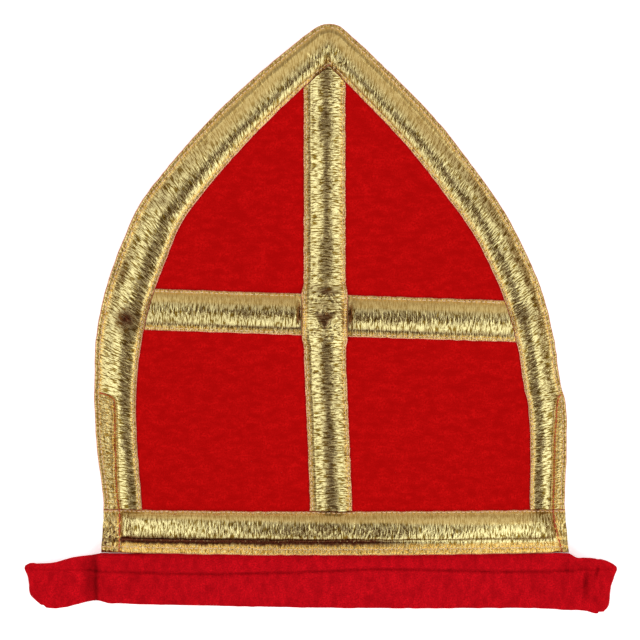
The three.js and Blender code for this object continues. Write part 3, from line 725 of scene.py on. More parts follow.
def short_plush(name, main, shade):
    """Short-pile knitted plush: deep colour into the pile, a soft sheen where the nap turns, and painted
    shade, almost dark, in its creases."""
    look, tree = blank(name)
    place_on = node(tree, "ShaderNodeTexCoord", {}, {}).outputs["Object"]
    nap = pattern(tree, place_on, PLUSH_NAP, detail=4, stretch=(1, 2, 1))
    pile = pattern(tree, place_on, PLUSH_PILE, detail=5)
    sewn = node(tree, "ShaderNodeAttribute", {"attribute_name": "sewn"}, {})
    marks = node(tree, "ShaderNodeSeparateXYZ", {}, {"Vector": sewn.outputs["Vector"]})
    tone = overlay(tree, main, nap, 0.35, 0.7, shade, most=0.6)
    tone = overlay(tree, tone, pile, 0.25, 0.75, shade)
    # Painted shade in the band's creases and along its hem
    tone = overlay(tree, tone, marks.outputs["X"], 0, 1, darker(shade, 0.3), most=0.8)
    sockets = {
        "Base Color": tone, "Roughness": 1, "Specular IOR Level": 0.03,
        "Sheen Weight": 0.04, "Sheen Roughness": 0.4, "Sheen Tint": linear("#FF6A7A")}
    finish(tree, sockets, height=pile, strength=0.7, depth=0.28 * MM)
    return look


def crinkled_lame(name, colours):
    """Metallised lame over wadding: mirror-bright yarn broken into fine crinkles that run across the strip,
    pale where it turns to the light, with painted brown shade in its crinkles and painted dark reddish shade
    and reflection deep in its creases, amber where stitching packs it down, and dull where it is drawn
    smooth: less bump and less metal there, and a flat olive-amber that paints in the dull reflection."""
    look, tree = blank(name)
    plan = node(tree, "ShaderNodeUVMap", {}, {}).outputs["UV"]
    yarn = pattern(tree, plan, LAME_YARN, detail=3, stretch=(1, 5, 1))
    fleck = pattern(tree, plan, LAME_YARN, detail=3, stretch=(1, 1.5, 1))
    sewn = node(tree, "ShaderNodeAttribute", {"attribute_name": "sewn"}, {})
    marks = node(tree, "ShaderNodeSeparateXYZ", {}, {"Vector": sewn.outputs["Vector"]})
    packed, turned, creased = (marks.outputs[axis] for axis in "XYZ")
    calm = node(tree, "ShaderNodeAttribute", {"attribute_name": "calm"}, {}).outputs["Fac"]
    # Painted shade in the crinkles: dark gold where the yarn pattern, which also lowers the bump, runs low
    tone = overlay(tree, colours.gold_crinkle_shade, yarn, 0.42, 0.54, colours.gold)
    # Painted reflection: the flat olive-amber of the smooth stretches
    tone = overlay(tree, tone, calm, 0, 1, colours.calm, most=0.6)
    tone = overlay(tree, tone, fleck, 0.35, 0.6, colours.amber, most=packed)
    tone = overlay(tree, tone, turned, 0, 1, colours.turned_edge)
    # Painted shade, with a reddish painted reflection, in the creases, the dents, the mouth groove and the
    # crossing
    tone = overlay(tree, tone, fleck, 0.85, 0.6, colours.crease, most=creased)
    glitter = node(tree, "ShaderNodeMapRange", {}, {"Value": packed, "To Min": 0.6, "To Max": 1.6})
    sockets = {0: fleck, 1: glitter.outputs["Result"], 2: yarn}
    height = node(tree, "ShaderNodeMath", {"operation": "MULTIPLY_ADD"}, sockets).outputs["Value"]
    # Smooth stretches are smoother, with less bump; the metal taken away there lets the painted olive-amber
    # reflection show
    strength = node(tree, "ShaderNodeMapRange", {}, {"Value": calm, "To Min": 0.75, "To Max": 0.45})
    dull = turned
    for mark, share in ((packed, 0.2), (calm, 0.45)):
        sockets = {0: mark, 1: share, 2: dull}
        dull = node(tree, "ShaderNodeMath", {"operation": "MULTIPLY_ADD"}, sockets).outputs["Value"]
    metal = node(tree, "ShaderNodeMapRange", {}, {"Value": dull, "To Min": 0.95, "To Max": 0.3})
    sockets = {"Base Color": tone, "Metallic": metal.outputs["Result"], "Roughness": 0.18}
    finish(tree, sockets, height, strength.outputs["Result"], depth=0.36 * MM)
    return look


def spun_thread(name, tone):
    """Spun polyester sewing thread: a soft gloss along its twist."""
    look, tree = blank(name)
    place_on = node(tree, "ShaderNodeTexCoord", {}, {}).outputs["Object"]
    twist = pattern(tree, place_on, THREAD_TWIST, detail=2)
    finish(tree, {"Base Color": overlay(tree, tone, twist, 0, 1, darker(tone, 0.7)), "Roughness": 0.5})
    return look


def look_of(context, name):
    """One of the mitre's materials, made the first time it is asked for."""
    known = bpy.data.materials.get(name)
    if known:
        return known
    c = context.scene.mitre_colours
    if name == "needle_felt_red":
        return needled_felt(name, c.felt, c.felt_shade)
    if name == "short_plush_crimson":
        return short_plush(name, c.plush, c.plush_shade)
    if name == "gold_lame":
        return crinkled_lame(name, c)
    if name == "polyester_thread_gold":
        return spun_thread(name, c.trim_thread)
    return spun_thread(name, c.seam_thread)


# Felt panels

PANEL_GRIDS = {"front_panel": {"rows": 110, "columns": 90}, "back_panel": {"rows": 60, "columns": 40}}
CROWDING = 0.4  # how far the columns crowd towards the sides, where the arch is steep


def panel_grid(form, rows, columns):
    """Plan of a panel, from the mouth to the peak."""
    left, right = (resample(form.edge[side][1:], rows)[:-1] for side in SIGN)
    share = np.linspace(0, 1, columns + 1)
    share = mix(share, (1 - np.cos(math.pi * share)) / 2, CROWDING)[None, :, None]
    both = mix(left[:, None, :], right[:, None, :], share)
    return both[..., 0], both[..., 1]


class MITRE_OT_panels(bpy.types.Operator):
    """Cut and lay the two felt panels"""

    bl_idname = "mitre.panels"
    bl_label = "Felt panels"

    def execute(self, context):
        form = form_of(context)
        s = form.s
        look = look_of(context, "needle_felt_red")
        for name, grid in PANEL_GRIDS.items():
            x, y = panel_grid(form, grid["rows"], grid["columns"])
            if name == "front_panel":
                low = form.front_under(x, y) + form.sway(x, y)
            else:
                low = np.full_like(x, s.back_puff + s.gap)
            piece = cloth(name + "_felt", x, y, low + s.felt, low, (x, y), look)
            dress(piece, name)
            area = np.trapz(form.width_at("left", y[:, 0]) + form.width_at("right", y[:, 0]), y[:, 0])
        return {"FINISHED"}


# Strips of gold cloth

STRIP_STEP = 0.38 * MM  # of the mesh along a strip
ACROSS_STEP = 0.8 * MM  # of the mesh across a strip
BACK_STEPS = 2  # how many times coarser the back trims are
CRINKLE_CROWN = 0.125 * MM  # height of the crinkles on the crown of the padding
CRINKLE_PINNED = 0.19 * MM  # height of the crinkles at the stitching
CRINKLE_SPREAD = 0.5  # how far their height varies
CRINKLE_WANDER = 1.4  # how far they wander sideways, in their own widths
CRINKLE_FADE = 7 * MM  # reach of the stitching
FOLD_SHARE = 0.7  # of the sharp crinkles in their height
FINE_SHARE = 0.6  # of the fine ones
STITCH_DIP = 0.32 * MM
STITCH_DIP_WIDTH = 0.7 * MM
PACKED_WIDTH = 1.6 * MM  # reach of the cloth packed down by stitching
OUTSIDE_PACKED = 0.4  # how far the cloth outside the side seam is packed down
TURNED_WIDTH = 0.32 * MM
EDGE_ROUND = 0.5 * MM
EDGE_SHARE = 0.45  # thickness left at the very edge
THINNEST = 0.25 * MM
SEAM_PULL = 1.2 * MM
SEAM_PULL_WIDTH = 1.3 * MM
SEAM_AMBER = 1.3 * MM
LUMP = 0.4 * MM  # unevenness of the wadding
CALMED = 0.6  # how far a smooth stretch loses its crinkles
BORDER_MARGIN = 3 * MM  # flat cloth beside the padding, at the border's outer edge
WIDE_MARGIN = 4.5 * MM  # the same at the first edge of the cross's strips
TRIM_MARGIN = 2 * MM  # the same at every strip's last edge


def crinkles(along, across, near, seed):
    """Small ridges that run across a strip, strongest near its stitching."""
    amount = mix(CRINKLE_CROWN, CRINKLE_PINNED, near)
    amount = amount * (1 + CRINKLE_SPREAD * uneven(along, across, "crinkle_strength", seed))
    wander = CRINKLE_WANDER * uneven(along, across, "crinkle_wander", seed)
    fold = 1 - 2 * np.abs(uneven(along, across, "crinkle", seed, (wander, 0)))
    fine = uneven(along, across, "fine_crinkle", seed, (-wander, 0))
    return amount * (FOLD_SHARE * fold + FINE_SHARE * fine)


class Strip:
    """One gold strip in plan: its points' places on the mitre, and their lengths along and across it."""

    def __init__(self, form, trim, x, y, along, across, plan=None):
        self.form = form
        self.x = x
        self.y = y
        self.along = along
        self.across = across
        self.plan = plan or (along, across)
        self.width = form.trim_width(trim)
        self.share = across / self.width
        self.lines = [across - row for row in form.stitch_rows(trim)]
        self.outside = form.past_seam(x, y, SEAM_PULL_WIDTH)

    def worked(self, thickness, seed, calm=0):
        """Thickness with the stitching pulled in, the edges rounded and the cloth crinkled."""
        inside = np.clip(np.minimum(self.across, self.width - self.across) / EDGE_ROUND, 0, 1)
        rounding = np.sqrt(inside * (2 - inside))
        near = np.maximum(beside(self.lines, CRINKLE_FADE), self.outside)
        lumps = LUMP * (1 - near) * uneven(self.along, self.across, "lumps", seed)
        broken = lumps + (1 - CALMED * calm) * crinkles(self.along, self.across, near, seed)
        soft = thickness - STITCH_DIP * beside(self.lines, STITCH_DIP_WIDTH) + broken
        return np.maximum(soft, THINNEST) * mix(EDGE_SHARE, 1, rounding)

    def marks(self, creased=0, lip=0, calm=0):
        """The cloth's marks: how far stitching packs it down, where its turned edges are, how much painted
        shade its creases get, and how smooth it lies, which also lays on the painted reflection of smooth
        gold."""
        form, shape = self.form, self.x.shape
        pins = beside(self.lines + [form.seam_distance(self.x, self.y)], PACKED_WIDTH)
        aside = beside([form.seam_side(self.x, self.y) - SEAM_AMBER], SEAM_AMBER)
        aside = aside * form.below_seam_end(self.y, SEAM_PULL_WIDTH)
        packed = np.max([pins, aside, OUTSIDE_PACKED * self.outside, np.broadcast_to(lip, shape)], axis=0)
        turned = beside([self.across, self.width - self.across], TURNED_WIDTH)
        deep = np.clip(np.broadcast_to(creased, shape), 0, 1)
        return {"sewn": np.stack([packed, turned, deep], axis=-1), "calm": np.broadcast_to(calm, shape)}


def lay_front(context, strip, name, thickness, low=None, most=np.inf, creased=0, lip=0, calm=0):
    """Sews a padded strip on the front panel, or on what lifts it to a low side of its own."""
    low = strip.form.seat(strip.x, strip.y) if low is None else low
    high = low + np.minimum(strip.worked(thickness, TRIM_SEEDS[name], calm), most)
    look = look_of(context, "gold_lame")
    marks = strip.marks(creased, lip, calm)
    piece = cloth(name + "_gold", strip.x, strip.y, high, low, strip.plan, look, True, marks)
    dress(piece, name)


def lay_back(context, strip, name, thickness):
    """Sews a strip on the back panel, pressed flat under the mitre."""
    puff = strip.form.s.back_puff
    low = np.maximum(puff - strip.worked(np.minimum(thickness, puff), TRIM_SEEDS[name]), 0)
    high = np.full_like(low, puff)
    look = look_of(context, "gold_lame")
    piece = cloth(name + "_gold", strip.x, strip.y, high, low, strip.plan, look, marks=strip.marks())
    dress(piece, name)


# Gold borders

PEAK_CALM_FOOT = 0.68  # height, as a share of the corner's, from which the border lies smoother
PEAK_CALM_RAMP = 0.14
LEAN_LOW = 0.12  # how far the padding leans inwards along the sides
LEAN_PEAK = 0.6  # and round the peak
OUTSIDE_PADDING = 0.35  # padding left outside the side seam
BORDER_LEAST = 0.5  # least thickness, as a share of the trim's edge
PEAK_DART = 13 * MM
PEAK_DART_WIDTH = 0.9 * MM
PEAK_DART_DEPTH = 1.3 * MM
PEAK_DART_FADE = 6.5 * MM
PEAK_RAYS = 11  # crinkles to the radian round the dart's foot
PEAK_RAY_START = 50  # place in the noise where they begin
PEAK_RAY_LENGTH = 9 * MM
PEAK_RAY_REACH = 18.2 * MM
PEAK_RAY_HEIGHT = 0.7 * MM
PEAK_RAY_SEED = 71
DENT_SHADOW = 2  # how dark a dent is for its depth


def near_peak(form, y):
    """1 round the peak, falling to 0 lower down the sides."""
    return ease((y / form.s.corner_height - PEAK_CALM_FOOT) / PEAK_CALM_RAMP)


def border_thickness(form, distance, x, y):
    """A border's padding, which lies towards its inner edge and is pinched along the side seam."""
    s = form.s
    lean = 1 + mix(LEAN_LOW, LEAN_PEAK, near_peak(form, y))
    inner = np.clip(distance / s.border_width, 0, 1) ** lean
    plain = form.padded(inner * s.border_width, s.border_width, BORDER_MARGIN, TRIM_MARGIN)
    pulled = SEAM_PULL * beside([form.seam_distance(x, y)], SEAM_PULL_WIDTH)
    outside = form.past_seam(x, y, SEAM_PULL_WIDTH / 2)
    full = mix(plain, mix(s.trim_edge, plain, OUTSIDE_PADDING), outside)
    return np.maximum(full - pulled, BORDER_LEAST * s.trim_edge)


def peak_folds(form, x, y):
    """The dart that folds the border's corner, and the crinkles that run out from its foot."""
    foot = form.inset("left", 1, 0, form.s.crossbar_height)[-1]
    off_x, off_y = x - foot[0], y - foot[1]
    radius = np.hypot(off_x, off_y)
    angle = np.arctan2(off_x, off_y)
    rays = noise(angle * PEAK_RAYS + PEAK_RAY_START, radius / PEAK_RAY_LENGTH, PEAK_RAY_SEED)
    window = np.clip(1 - (radius / PEAK_RAY_REACH) ** 2, 0, 1)
    dart = beside([off_x], PEAK_DART_WIDTH) * ease((PEAK_DART - radius) / PEAK_DART_FADE)
    return PEAK_RAY_HEIGHT * rays * window - PEAK_DART_DEPTH * dart


def border_dents(form, x, y):
    """Depth of the dents in the border, as a share of its puff."""
    across, up = x / form.s.half_width, y / form.s.half_width
    return sum(
        row["deep"] * np.exp(-np.hypot(across - row["x"], up - row["y"]) ** 2 / row["size"] ** 2)
        for row in BORDER_DENTS)


def border_strip(form, coarser=1):
    """A border as one strip from the left end of the mouth trim over the peak to the right end."""
    step = coarser * STRIP_STEP
    count = round(form.s.border_width / (coarser * ACROSS_STEP))
    steps = round(form.s.corner_height / step)
    foot = form.s.mouth_trim_width + form.s.gap
    rows = []
    for share in np.linspace(1, 0, count + 1):
        left, right = (resample(form.inset(side, share, 0, foot), steps) for side in SIGN)
        middle = (left[-1:] + right[-1:]) / 2
        rows.append(np.concatenate([left[:-1], middle, right[-2::-1]]))
    grid = np.array(rows)
    x, y = grid[..., 0], grid[..., 1]
    across = np.linspace(form.s.border_width, 0, count + 1)[:, None] * np.ones_like(x)
    along = np.abs(np.arange(grid.shape[1]) - steps)[None, :] * step * np.ones_like(x)
    return Strip(form, "border", x, y, along, across, (along * np.sign(x), across))


class MITRE_OT_borders(bpy.types.Operator):
    """Sew the padded borders round both panels"""

    bl_idname = "mitre.borders"
    bl_label = "Gold borders"

    def execute(self, context):
        form = form_of(context)
        strip = border_strip(form)
        x, y = strip.x, strip.y
        dents = border_dents(form, x, y)
        padding = border_thickness(form, strip.across, x, y)
        thickness = padding + peak_folds(form, x, y) - dents * form.s.trim_puff
        calm = near_peak(form, y) * between(strip.share, **STRETCHES["border_smooth"])
        lay_front(context, strip, "front_border", thickness, creased=DENT_SHADOW * dents, calm=calm)

        strip = border_strip(form, BACK_STEPS)
        lay_back(context, strip, "back_border", border_thickness(form, strip.across, strip.x, strip.y))
        return {"FINISHED"}


# Gold cross

CROSSBAR_LENGTH = 1.6  # rough length over the half width, for the count of the mesh's steps
UPRIGHT_LENGTH = 0.8  # the same over the corner height
UNDER_UPRIGHT = 0.97  # from here on the crossbar is pressed to its least thickness
# Painted shade on the crossbar beside the upright, and along its lower seam, where CREASE_WIDTH and
# CREASE_DEPTH give that shade's width and strength
CROSSING_SHADOW = 6.5 * MM
SHADOW_REACH = 1.3  # from how near the upright the shadow is full
LEFT_SHADOW = 0.15
RIGHT_SHADOW = 0.5
CREASE_WIDTH = 0.9 * MM
CREASE_DEPTH = 0.6
CROSSING_DOME = 2.6 * MM
CROSSING_SLUMP = 2.5 * MM  # how far the dome's top lies below the crossing's middle
CROSSING_PUCKER = 0.55 * MM
PUCKER_WANDER = 1.6
PUCKER_RAMP = 2 * MM
HOLLOW_SHARE = 0.5  # depth of the crossing's hollow, as a share of the dome
DIAMOND_TOP = 4 * MM
DIAMOND_FOOT = -9.5 * MM
DIAMOND_WIDTH = 4.6 * MM
DIAMOND_POINT = 0.05  # least width, at its foot
DIAMOND_SOFT = 0.8
DIAMOND_TOP_FADE = 4 * MM
DIAMOND_FOOT_FADE = 1 * MM
# Strengths of the painted shade in the crossing's hollow, at the brow where the upright comes down and along
# its crown; the brow and the crown are painted shade only
DIAMOND_CREASE = 0.85
BROW = 15 * MM  # the fold where the upright comes down, above the crossing's middle
BROW_SIDE = 1 * MM
BROW_WIDTH = 6 * MM
BROW_LENGTH = 2.6 * MM
BROW_CREASE = 0.9
CROWN_WIDTH = 3 * MM
CROWN_CREASE = 0.35


def crowned(share):
    """1 along the middle of a strip, falling to 0 at its edges."""
    return np.sin(math.pi * np.clip(share, 0, 1))


def meets(points, line, axis):
    """Place on one axis where an edge's points first pass a line."""
    off = points[:, 1 - axis] - line(points[:, axis])
    i = int(np.argmax(off > 0))
    return mix(points[i - 1, axis], points[i, axis], -off[i - 1] / (off[i] - off[i - 1]))


def crossbar_strip(form):
    """The crossbar, from the inner edge of the left border to that of the right one."""
    s = form.s
    ends = [form.inset(side, 1, s.gap, 0) for side in SIGN]
    steps = round(CROSSBAR_LENGTH * s.half_width / STRIP_STEP)
    across = np.linspace(0, s.crossbar_width, round(s.crossbar_width / ACROSS_STEP) + 1)
    x, y = [], []
    for offset in across - s.crossbar_width / 2:
        line = lambda at: form.crossbar_y(at) + offset
        row = np.linspace(*(meets(points, line, 0) for points in ends), steps + 1)
        x.append(row)
        y.append(line(row))
    x, y = np.array(x), np.array(y)
    return Strip(form, "crossbar", x, y, x, across[:, None] * np.ones_like(x))


def upright_strip(form):
    """The upright, from the mouth trim to the inner edges of the border at the peak."""
    s = form.s
    left, right = (form.inset(side, 1, s.gap, s.crossbar_height) for side in SIGN)
    edge = np.concatenate([left, right[::-1]])
    steps = round(UPRIGHT_LENGTH * s.corner_height / STRIP_STEP)
    share = np.linspace(0, 1, round(s.upright_width / ACROSS_STEP) + 1)
    width = lambda at: s.upright_width + 2 * CROSSING_SPREAD * form.over_crossbar(at - form.crossbar_y(0))
    x, y = [], []
    for part in share - 0.5:
        line = lambda at: form.upright_x(at) + part * width(at)
        column = np.linspace(s.mouth_trim_width + s.gap, meets(edge, line, 1), steps + 1)
        x.append(line(column))
        y.append(column)
    x, y = np.array(x).T, np.array(y).T
    return Strip(form, "upright", x, y, y, share[None, :] * s.upright_width * np.ones_like(x))


def crossbar_thickness(strip):
    """The crossbar's padding, pressed flat under the upright."""
    form = strip.form
    free = form.padded(strip.across, strip.width, WIDE_MARGIN, TRIM_MARGIN)
    return mix(free, np.minimum(free, CROSSING_PRESSED), form.under_upright(strip.x, strip.y))


def crossbar_creases(strip):
    """Where the crossbar sinks in shadow: beside the upright, and along its lower seam."""
    form, x = strip.form, strip.x
    past = np.abs(x - form.upright_x(strip.y)) - form.s.upright_width / 2 - CROSSING_SPREAD
    near = ease(SHADOW_REACH - past / CROSSING_SHADOW) * crowned(strip.share) ** 0.5
    seam = CREASE_DEPTH * beside([strip.across - WIDE_MARGIN], CREASE_WIDTH)
    return np.maximum(form.split(x, LEFT_SHADOW, RIGHT_SHADOW) * near, seam)


def crossing_diamond(form, x, y):
    """1 in the hollow that the puckered upright leaves in the middle of the crossing."""
    past = y - form.crossbar_y(x)
    down = np.clip((past - DIAMOND_FOOT) / (DIAMOND_TOP - DIAMOND_FOOT), DIAMOND_POINT, 1)
    inside = ease(1 + DIAMOND_SOFT * (1 - np.abs(x - form.upright_x(y)) / (DIAMOND_WIDTH * down)))
    return inside * between(past, DIAMOND_FOOT, DIAMOND_FOOT_FADE, DIAMOND_TOP, DIAMOND_TOP_FADE)


def upright_creases(form, x, y):
    """Where the upright sinks in shadow: in the crossing's hollow, and where it comes down above it."""
    off_x, past = x - form.upright_x(y), y - form.crossbar_y(x)
    brow = np.exp(-(((off_x - BROW_SIDE) / BROW_WIDTH) ** 2) - ((past - BROW) / BROW_LENGTH) ** 2)
    crown = beside([off_x], CROWN_WIDTH) * ease(-past / BROW)
    diamond = crossing_diamond(form, x, y)
    return np.max([DIAMOND_CREASE * diamond, BROW_CREASE * brow, CROWN_CREASE * crown], axis=0)


def crossing_puckers(strip):
    """Wrinkles that gather round the crossing, where the upright rides over the crossbar."""
    form, x, y = strip.form, strip.x, strip.y
    window = form.crossing(y - form.crossbar_y(x), form.s.crossbar_width, PUCKER_RAMP)
    wander = PUCKER_WANDER * uneven(x, y, "pucker_wander")
    ridges = 1 - 2 * np.abs(uneven(x, y, "puckers", drift=(wander, -wander)))
    return CROSSING_PUCKER * ridges * window * crowned(strip.share)


def upright_surface(strip):
    """Low side and padding of the upright, domed where it passes over the crossbar."""
    form, x, y = strip.form, strip.x, strip.y
    past = y - form.crossbar_y(x)
    low = form.seat(x, y) + (CROSSING_PRESSED + form.s.gap) * form.over_crossbar(past)
    dome = np.clip(1 - ((past + CROSSING_SLUMP) / (form.s.crossbar_width / 2)) ** 2, 0, 1) ** 2
    raised = dome * crowned(strip.share) ** 0.5 - HOLLOW_SHARE * crossing_diamond(form, x, y)
    return low, form.padded(strip.across, strip.width, WIDE_MARGIN, TRIM_MARGIN) + CROSSING_DOME * raised


class MITRE_OT_cross(bpy.types.Operator):
    """Sew the crossbar, and the upright over it"""

    bl_idname = "mitre.cross"
    bl_label = "Gold cross"

    def execute(self, context):
        form = form_of(context)
        strip = crossbar_strip(form)
        pressed = form.under_upright(strip.x, strip.y) > UNDER_UPRIGHT
        lay_front(context, strip, "front_crossbar", crossbar_thickness(strip),
                  most=np.where(pressed, CROSSING_PRESSED, np.inf), creased=crossbar_creases(strip),
                  calm=between(strip.share, **STRETCHES["crossbar_smooth"]))

        strip = upright_strip(form)
        low, thickness = upright_surface(strip)
        lay_front(context, strip, "front_upright", thickness + crossing_puckers(strip), low,
                  creased=upright_creases(form, strip.x, strip.y))
        return {"FINISHED"}


# Gold mouth trims

LIP_STEP = 0.64 * MM  # of the mesh across the front mouth trim, fine enough for its lip
MOUTH_END_RAMP = 3 * MM
MOUTH_END_PADDING = 0.45  # padding left outside the side seam
MOUTH_PULL = 0.72 * MM
MOUTH_SEAM_LOW = 0.5  # share of the padding beside the side seam
MOUTH_RISE_LEFT = 12 * MM  # over which the padding rises from there
MOUTH_RISE_RIGHT = 8 * MM
MOUTH_LEAST = 0.3  # least thickness, as a share of the trim's edge
UPRIGHT_HUMP = 0.6 * MM
HUMP_FADE = 2 * MM
HUMP_FOOT = 0.45  # height of its foot and its rise, as shares of the width
HUMP_RISE = 0.3
# The constants from here to GROOVE_OUTSIDE place and size the painted shade in the groove above the lip
GROOVE = 0.3  # height of the groove, as a share of the width
GROOVE_WIDTH = 0.07
GROOVE_DRIFT = 0.008
GROOVE_RAVEL = 0.025
GROOVE_DEPTH = 1.5
GROOVE_CLOSED = 0.45  # place, over the half width, where the groove has closed
GROOVE_CLOSING = 0.4
GROOVE_OUTSIDE = 0.3  # what is left of it outside the side seam
LIP_FADE = 1 * MM
LIP_OUTSIDE = 0.4
END_LUMP = 0.6 * MM
# Contrast of the painted shade specks at the left end
END_CONTRAST = 2.2
SMOOTH_LOW_RIGHT = 0.64  # foot of the smooth stretch at the right end
SMOOTH_END = 0.9  # where it ends, over the half width
SMOOTH_END_FADE = 0.08


def mouth_strip(form, step, across_step):
    """The whole trim along one mouth edge."""
    s = form.s
    y = np.linspace(0, s.mouth_trim_width, round(s.mouth_trim_width / across_step) + 1)
    share = np.linspace(0, 1, round(2 * s.half_width / step) + 1)[None, :]
    left, right = (SIGN[side] * form.width_at(side, y)[:, None] for side in SIGN)
    x = mix(left, right, share)
    y = y[:, None] * np.ones_like(x)
    return Strip(form, "mouth_trim", x, y, x, y)


def mouth_thickness(form, x, y):
    """Padding of the mouth trim above its lip, flatter outside the side seams and humped over the upright's
    foot."""
    s = form.s
    up = y / s.mouth_trim_width
    left, right = (s.trim_puff * curve(MOUTH_SECTION, "up", side, up) for side in SIGN)
    crown = mix(right, left, ease(0.5 - x / (2 * s.half_width)))
    outside = form.past_seam(x, y, MOUTH_END_RAMP)
    full = mix(crown, mix(s.trim_edge, crown, MOUTH_END_PADDING), outside)
    inwards = ease(-form.seam_side(x, y) / form.split(x, MOUTH_RISE_LEFT, MOUTH_RISE_RIGHT))
    full = mix(s.trim_edge, full, mix(MOUTH_SEAM_LOW, 1, inwards))
    from_upright = np.abs(x - form.upright_x(0)) - s.upright_width / 2
    hump = UPRIGHT_HUMP * ease(1 - from_upright / HUMP_FADE) * ease((up - HUMP_FOOT) / HUMP_RISE)
    pulled = MOUTH_PULL * beside([form.seam_distance(x, y)], SEAM_PULL_WIDTH)
    return np.maximum(full + hump - pulled, MOUTH_LEAST * s.trim_edge)


def mouth_groove_shade(strip):
    """1 where painted shade lies in the groove above the mouth trim's lip, which closes towards the right."""
    x, y = strip.x, strip.y
    ragged = GROOVE_DRIFT * uneven(x, 0 * y, "groove_drift") + GROOVE_RAVEL * uneven(x, y, "groove_ravel")
    opened = ease((GROOVE_CLOSED - x / strip.form.s.half_width) / GROOVE_CLOSING)
    opened = opened * mix(1, GROOVE_OUTSIDE, strip.outside)
    return np.clip(GROOVE_DEPTH * beside([strip.share - GROOVE - ragged], GROOVE_WIDTH) * opened, 0, 1)


def crushed_end_shade(strip):
    """1 in the specks of painted shade on the mouth trim's left end, outside the side seam, where the cloth
    is crushed.
    """
    specks = ease(END_CONTRAST * uneven(strip.x, strip.y, "end_specks"))
    return specks * strip.outside * (strip.x < 0) * between(strip.share, **STRETCHES["end_crushed"])


def mouth_calm(strip):
    """1 where the upper half of the mouth trim lies smooth, wider towards the right."""
    row = STRETCHES["mouth_smooth"]
    off = strip.x / strip.form.s.half_width
    low = mix(row["low"], SMOOTH_LOW_RIGHT, ease(0.5 + off / 2))
    smooth = between(strip.share, low, row["rise"], row["high"], row["fall"])
    return smooth * ease((SMOOTH_END - np.abs(off)) / SMOOTH_END_FADE)


class MITRE_OT_mouth_trims(bpy.types.Operator):
    """Sew the padded trims along both mouth edges"""

    bl_idname = "mitre.mouth_trims"
    bl_label = "Gold mouth trims"

    def execute(self, context):
        form = form_of(context)
        strip = mouth_strip(form, STRIP_STEP, LIP_STEP)
        lumps = END_LUMP * strip.outside * uneven(strip.x, strip.y, "end_lumps")
        thickness = mouth_thickness(form, strip.x, strip.y) + lumps
        # Painted shade in the groove above the lip and in the specks of the left end
        creased = np.maximum(mouth_groove_shade(strip), crushed_end_shade(strip))
        lip = ease((form.s.mouth_lip - strip.y) / LIP_FADE) * mix(1, LIP_OUTSIDE, strip.outside)
        calm = mouth_calm(strip)
        lay_front(context, strip, "front_mouth_trim", thickness, creased=creased, lip=lip, calm=calm)

        strip = mouth_strip(form, BACK_STEPS * STRIP_STEP, BACK_STEPS * ACROSS_STEP)
        lay_back(context, strip, "back_mouth_trim", mouth_thickness(form, strip.x, strip.y))
        return {"FINISHED"}


# Headband

BAND_STEP = 0.0084  # of the mesh round the loop, in half widths
BAND_ROWS = 50
FOLD_STEPS = 10
BAND_TUCK = 6 * MM  # how far the sewn edge lies inside the mouth
TUCK_END = 0.66  # how far out it is tucked, in half widths
TUCK_FADE = 0.06
BAND_EASE = 0.8 * MM  # clearance under the front panel
BAND_DROOP = 8 * MM  # how far the arched band sinks by its lower edge
BAND_SOFT = 2 * MM  # softness of the bend from the arch to the flat ears
BAND_SOFT_START = 8 * MM  # over which that softness grows
BAND_SINK_START = 2.5 * MM
BAND_SINK = 13 * MM  # over which the band comes down to the table
HEM_EXTRA = 0.9 * MM
HEM_RAMP = 2 * MM
HEM_CREASE = 1.3 * MM
HEM_CREASE_WIDTH = 0.9 * MM
HEM_END = 1.3  # how far out the hem's crease runs, in half widths
HEM_FADE = 0.25
EAR_CREVICE = 0.8 * MM
PLEAT_STEP = 3 * MM
PLEAT = {"low": -1.14, "rise": 0.08, "high": -0.72, "fall": 0.3}  # its stretch, in half widths
# Painted shade in the band's creases and in the hem's crease, for their depths
CREASE_SHADE = 0.75
HEM_SHADE = 0.42
NAP = 0.16 * MM


def band_plan(form, at, down):
    """Where the band lies, in plan."""
    s = form.s
    left = at < 0
    body = np.where(left, form.width_at("left", 0), form.width_at("right", 0))
    reach = np.where(left, s.ear_left * curve(EAR_ENDS, "down", "left", down),
                     s.ear_right * curve(EAR_ENDS, "down", "right", down))
    tucked = 1 - ease((np.abs(at) - TUCK_END) / TUCK_FADE)
    top = mix(-s.band_depth * curve(BAND_EDGES, "at", "top", at), BAND_TUCK, tucked)
    bottom = -s.band_depth * curve(BAND_EDGES, "at", "bottom", at)
    x = np.sign(at) * (np.minimum(np.abs(at), 1) * body + np.maximum(np.abs(at) - 1, 0) * reach)
    return x, mix(top, bottom, down)


def band_wall(form, y):
    """Thickness of the plush, which is more where the hem is turned up."""
    return form.s.band_wall + HEM_EXTRA * ease((-y - form.s.hem_start) / HEM_RAMP)


def band_floor(form, y):
    """Height of the back of the band over the table."""
    return form.bed * (1 - ease((-y - BAND_SINK_START) / BAND_SINK))


def band_top(form, at, down, x, y):
    """Upper face of the front of the band."""
    s = form.s
    folded = band_floor(form, y) + 2 * band_wall(form, y) + EAR_CREVICE
    sag = ease(-y / s.band_depth) * form.arch(x, 0, BAND_DROOP)
    over = form.front_under(x, np.maximum(y, 0)) - BAND_EASE - sag - folded
    soft = BAND_SOFT * ease(-y / BAND_SOFT_START)
    raised = folded + (over + np.hypot(over, soft)) / 2
    pleat = PLEAT_STEP * between(at, **PLEAT) * ease(-y / s.band_wall)
    creased = s.band_wall * band_creases(at, down) + HEM_CREASE * hem_crease(s, at, y)
    tufts = NAP * (uneven(x, y, "tufts") + uneven(x, y, "nap"))
    return np.where(np.abs(at) >= 1, folded, raised) + pleat - creased + tufts


